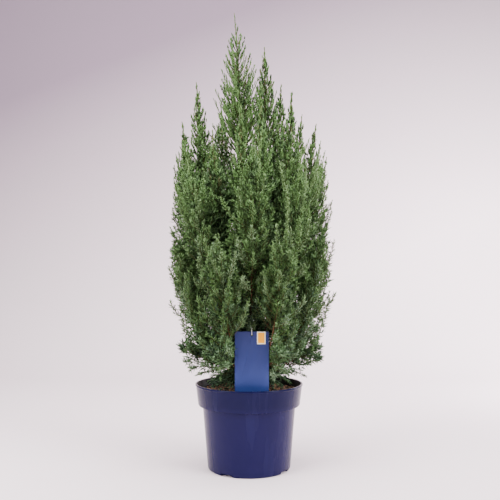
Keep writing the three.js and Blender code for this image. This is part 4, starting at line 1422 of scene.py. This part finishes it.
def make_card():
    """The bare label card, with rounded upper corners and a hole."""
    foot = SOIL_LEVEL - CARD_SUNK
    middle = (CARD_X, CARD_Y, (foot + CARD_TOP) / 2)
    card = block("blue_label", middle, (CARD_WIDTH, CARD_THICKNESS, CARD_TOP - foot))

    def is_upper_corner(one, other):
        return min(one.z, other.z) > (CARD_TOP - 1) * MM and abs(one.x - other.x) < MM

    select_edges(card, is_upper_corner)
    bpy.ops.mesh.bevel(offset=CARD_CORNER * MM, segments=6, affect="EDGES")
    bpy.ops.object.mode_set(mode="OBJECT")
    clear_choice()
    bpy.ops.mesh.primitive_cylinder_add(
        vertices=32,
        radius=CARD_HOLE_RADIUS * MM,
        depth=10 * MM,
        location=in_metres(CARD_X, CARD_Y, CARD_TOP - CARD_HOLE_DROP),
        rotation=(math.pi / 2, 0, 0),
    )
    punch = started("hole_punch")
    settle(punch)
    cut(card, punch)
    bevelled(card, CARD_EDGE, angle=50)
    card.data.materials.append(CARD_PRINT)
    shade_smooth(card, angle=30)
    dress(card, "card_print", "label_card")


def print_card():
    """A plain amber tab with a pale border, as two thin plates on the card's front."""
    front = CARD_Y - CARD_THICKNESS / 2
    for (name, (left, right), (low, drop), thickness), look in zip(TAB_PLATES, (TAB_BORDER, TAB_AMBER)):
        high = CARD_TOP - drop
        middle = ((left + right) / 2, front - thickness / 2, (low + high) / 2)
        piece = block(name, middle, (right - left, thickness, high - low))
        bevelled(piece, PLATE_EDGE)
        piece.data.materials.append(look)
        dress(piece, "card_print")
        front -= thickness


def drawn_tube(name, course, radii, sides, closed=False):
    """A round bar along a course, from a path with a radius at every point."""
    clear_choice()
    bpy.ops.curve.primitive_nurbs_path_add(location=(0, 0, 0))
    piece = started(name)
    data = piece.data
    data.splines.clear()
    spline = data.splines.new("POLY")
    count = len(radii)
    spline.points.add(count - 1)
    shares = np.linspace(0, 1, count, endpoint=not closed)
    for mark, place, radius in zip(spline.points, course.at(shares) * MM, radii):
        mark.co = (*place, 1)
        mark.radius = radius
    spline.use_cyclic_u = closed
    data.dimensions = "3D"
    data.twist_mode = "MINIMUM"
    data.bevel_depth = MM
    data.bevel_resolution = sides // 2 - 2
    data.use_fill_caps = not closed
    choose(piece)
    bpy.ops.object.convert(target="MESH")
    clean_up(piece, weld=0.01)
    return piece


def make_tie():
    stem = next(stem for name, stem, *_ in plumes if name == TIE_HOLDS)
    shares = np.arange(0, 1, 0.005)
    held = stem.at(shares[np.argmax(stem.at(shares)[:, 2] >= TIE_HEIGHT)])
    hole = np.array([CARD_X, CARD_Y, CARD_TOP - CARD_HOLE_DROP])
    away = unit(held - hole)
    across = np.array([1, 0, 0])
    clear_top = CARD_TOP + 2 * TIE_RADIUS
    marks = [
        hole,
        (hole[0], CARD_Y - TIE_SLACK * TIE_FRONT_BULGE, mix(hole[2], clear_top, TIE_FRONT_RISE)),
        (hole[0] - 1, CARD_Y - TIE_SLACK * TIE_TOP_BULGE, clear_top + TIE_OVER_CARD),
        held - across * TIE_SLACK - away * TIE_SLACK,
        held + away * TIE_SLACK,
        held + across * TIE_SLACK - away * TIE_SLACK,
        (hole[0], CARD_Y + TIE_SLACK, mix(hole[2], clear_top, TIE_BACK_RISE)),
    ]
    radii = [TIE_RADIUS] * TIE_STATIONS
    tie = drawn_tube("plastic_tie", course_through(marks, closed=True), radii, ROUND_SIDES, closed=True)
    tie.data.materials.append(TIE_PLASTIC)
    shade_smooth(tie)
    dress(tie, "tie_plastic", "label_tie")


def ridged(piece, course, depth, lobes=None):
    """Bark relief: strips that run up the limb, and roots that spread at its foot."""
    last = len(course.points) - 1
    for vertex in piece.data.vertices:
        place = np.array(vertex.co) / MM
        share = np.argmin(size_of(course.points - place)) / last
        centre = course.points[int(share * last)]
        outward = place - centre
        radius = size_of(outward)
        if radius < BARK_LEAST_RADIUS:
            continue
        angle = math.atan2(outward[1], outward[0])
        x, y = math.cos(angle), math.sin(angle)
        relief = 0
        for round_limb, up_limb, shift, scale, share_of_relief in BARK_WAVES:
            spot = Vector((x * round_limb, y * round_limb, place[2] * up_limb + shift)) * scale
            relief += share_of_relief * noise.noise(spot)
        wanted = radius + depth * radius * relief
        if lobes:
            wanted += lobes(share, angle) - lobes(share, 0)
        vertex.co = Vector((centre + outward * wanted / radius) * MM)


def make_limbs():
    radii = trunk_radius(np.linspace(0, 1, TRUNK_STATIONS), 0)
    trunk = drawn_tube("trunk_bark", trunk_course, radii, TRUNK_SIDES)
    ridged(trunk, trunk_course, TRUNK_BARK_DEPTH, trunk_radius)
    for vertex in trunk.data.vertices:
        vertex.co.z = max(vertex.co.z, SOIL_LEVEL * MM)
    limbs = {"trunk": trunk}
    radii = np.linspace(BOUGH_ROOT_RADIUS, BOUGH_TIP_RADIUS, BOUGH_STATIONS)
    for name, course in bough_courses.items():
        limbs[name] = drawn_tube(name + "_bark", course, radii, ROUND_SIDES)
        ridged(limbs[name], course, BOUGH_BARK_DEPTH)
    for name, limb in limbs.items():
        limb.data.materials.append(BARK)
        shade_smooth(limb)
        dress(limb, "bark", name)


def make_stems():
    """The plumes' stems: bark low down, green at the top."""
    for name, look, lengths in (
        ("plume_stems", STEM_BARK, BARKED_LENGTHS),
        ("plume_tops", GREEN_SHOOT, GREEN_LENGTHS),
    ):
        ends = [(stem, low, high) for _, stem, _, _ in plumes for low, high in lengths]
        root = np.array([stem.at(low) for stem, low, _ in ends])
        tip = np.array([stem.at(high) for stem, _, high in ends])
        bend = 2 * np.array([stem.at((low + high) / 2) for stem, low, high in ends]) - (root + tip) / 2
        lows, highs = (np.array([end[k] for end in ends]) for k in (1, 2))
        wide, slim = (mix(STEM_RADIUS, STEM_TIP_RADIUS, shares) for shares in (lows, highs))
        points, faces = tapered_twigs(root, bend, tip, wide, slim, STEM_SIDES, STEM_STATIONS)
        dress(joined(name, points, faces, [look]), "needles", *foliage_nodes)


def make_foliage():
    twigs, shoots, inner = grow_crown()
    make_stems()
    for name, grown, radius, look, stations in (
        ("twigs", twigs, TWIG_RADIUS, TWIG_BARK, 5),
        ("side_shoots", shoots, SIDE_SHOOT_RADIUS, GREEN_SHOOT, 2),
        ("inner_shoots", inner, INNER_SHOOT_RADIUS, TWIG_BARK, 2),
    ):
        marks = (grown[key] for key in ("root", "bend", "tip"))
        points, faces = tapered_twigs(*marks, radius, radius * SHOOT_TIP_SHARE, SHOOT_SIDES, stations)
        dress(joined(name, points, faces, [look]), "needles", *foliage_nodes)
    rng = np.random.default_rng(GROWTH_SEED + 1)
    corners = []
    tones = []
    for grown in (twigs, shoots, inner):
        made, owner = needles_on(grown, rng)
        light = grown["light"]
        light = light + rng.normal(0, TONE_WANDER, len(light)) * (light > 0)
        is_young = grown["tip"][:, 2] < rng.normal(YOUNG_BELOW, YOUNG_WANDER, len(light))
        is_young &= light < TONE_STEPS[-2]
        corners.append(made)
        tones.append((np.digitize(light, TONE_STEPS) + len(NEEDLE_TONES) * is_young)[owner])
    corners = np.concatenate(corners)
    tones = np.concatenate(tones)
    for number, name in enumerate(TONES):
        chosen = np.flatnonzero(tones == number)
        parts = max(1, math.ceil(len(chosen) * len(NEEDLE_FACES) / NEEDLE_PIECE_LIMIT))
        for part, few in enumerate(np.array_split(chosen, parts)):
            points, faces = repeated(corners[few], NEEDLE_FACES)
            looks = np.tile(NEEDLE_LOOKS, len(few))
            piece = joined(f"needles_{name}_{part + 1}", points, faces, TONES[name], looks)
            dress(piece, "needles", *foliage_nodes)


# Studio, in metres
PAPER_WIDTH = 7
PAPER_DEPTH = 2.7
PAPER_MIDDLE = 0.65
PAPER_RISE = 3.4
PAPER_BEND = 0.8
CAMERA_PLACE = (0.002, -1.42, 0.401)
CAMERA_LENS = 48.7
CAMERA_SHIFT = 0.052
WORLD_COLOUR = (0.95, 0.93, 0.96, 1)
WORLD_STRENGTH = 0.18

# Softboxes: name, place, aim, size, power and colour
SOFTBOXES = (
    ("left_softbox", (-1.35, -1.15, 1.5), (0, 0, 0.45), (1.3, 1.5), 62, (1, 0.99, 0.97)),
    ("right_softbox", (1.5, -1.05, 1.4), (0, 0, 0.45), (1.2, 1.5), 62, (1, 0.98, 0.98)),
    ("top_softbox", (0, -0.1, 2.5), (0, 0.1, 0), (2.4, 1.8), 124, (1, 0.97, 0.99)),
    ("left_low_softbox", (-1.3, -0.95, 0.3), (0, 0, 0.15), (0.5, 0.6), 8, (1, 1, 1)),
    ("right_low_softbox", (1.3, -0.95, 0.3), (0, 0, 0.15), (0.5, 0.6), 8, (1, 1, 1)),
    ("backdrop_light", (1.5, 0.7, 0.5), (0.4, 2.0, 0.3), (0.8, 0.8), 44, (1, 0.96, 1)),
)


def make_studio():
    """A sheet of pale paper that lies under the pot and rises behind it."""
    clear_choice()
    bpy.ops.mesh.primitive_plane_add(size=1, location=(0, PAPER_MIDDLE, 0))
    sweep = started("studio_sweep")
    sweep.scale = (PAPER_WIDTH, PAPER_DEPTH, 1)
    settle(sweep)
    back = PAPER_MIDDLE + PAPER_DEPTH / 2 - MM
    select_edges(sweep, lambda one, other: min(one.y, other.y) > back)
    bpy.ops.mesh.extrude_region_move(TRANSFORM_OT_translate={"value": (0, 0, PAPER_RISE)})
    bpy.ops.object.mode_set(mode="OBJECT")
    bevelled(sweep, PAPER_BEND / MM, angle=60, segments=16)
    shade_smooth(sweep)
    finish = Finish("studio_paper", srgb(252, 238, 242), 0.9)
    # Painted shade: the paper is darker higher up and towards the left.
    backdrop_shade = (finish.axis("Z") * 0.66 - finish.axis("X") * 0.25 - 0.16).clamped()
    finish.link("Base Color", finish.blend(backdrop_shade, srgb(255, 239, 244), srgb(150, 132, 148)))
    sweep.data.materials.append(finish.material)


def light_studio():
    world = bpy.data.worlds.new("studio")
    bpy.context.scene.world = world
    world.use_nodes = True
    background = world.node_tree.nodes["Background"]
    background.inputs["Color"].default_value = WORLD_COLOUR
    background.inputs["Strength"].default_value = WORLD_STRENGTH
    for name, place, aim, size, power, colour in SOFTBOXES:
        data = bpy.data.lights.new(name, "AREA")
        data.shape = "RECTANGLE"
        data.size, data.size_y = size
        data.energy = power
        data.color = colour
        light = bpy.data.objects.new(name, data)
        bpy.context.scene.collection.objects.link(light)
        light.location = place
        light.rotation_euler = (Vector(aim) - Vector(place)).to_track_quat("-Z", "Y").to_euler()


def place_camera():
    data = bpy.data.cameras.new("camera")
    data.lens = CAMERA_LENS
    data.shift_y = CAMERA_SHIFT
    camera = bpy.data.objects.new("camera", data)
    bpy.context.scene.collection.objects.link(camera)
    camera.location = CAMERA_PLACE
    camera.rotation_euler = (math.pi / 2, 0, 0)
    bpy.context.scene.camera = camera


place_camera()
make_studio()
light_studio()
make_pot()
make_soil()
strew_mulch()
make_card()
print_card()
make_tie()
make_limbs()
make_foliage()
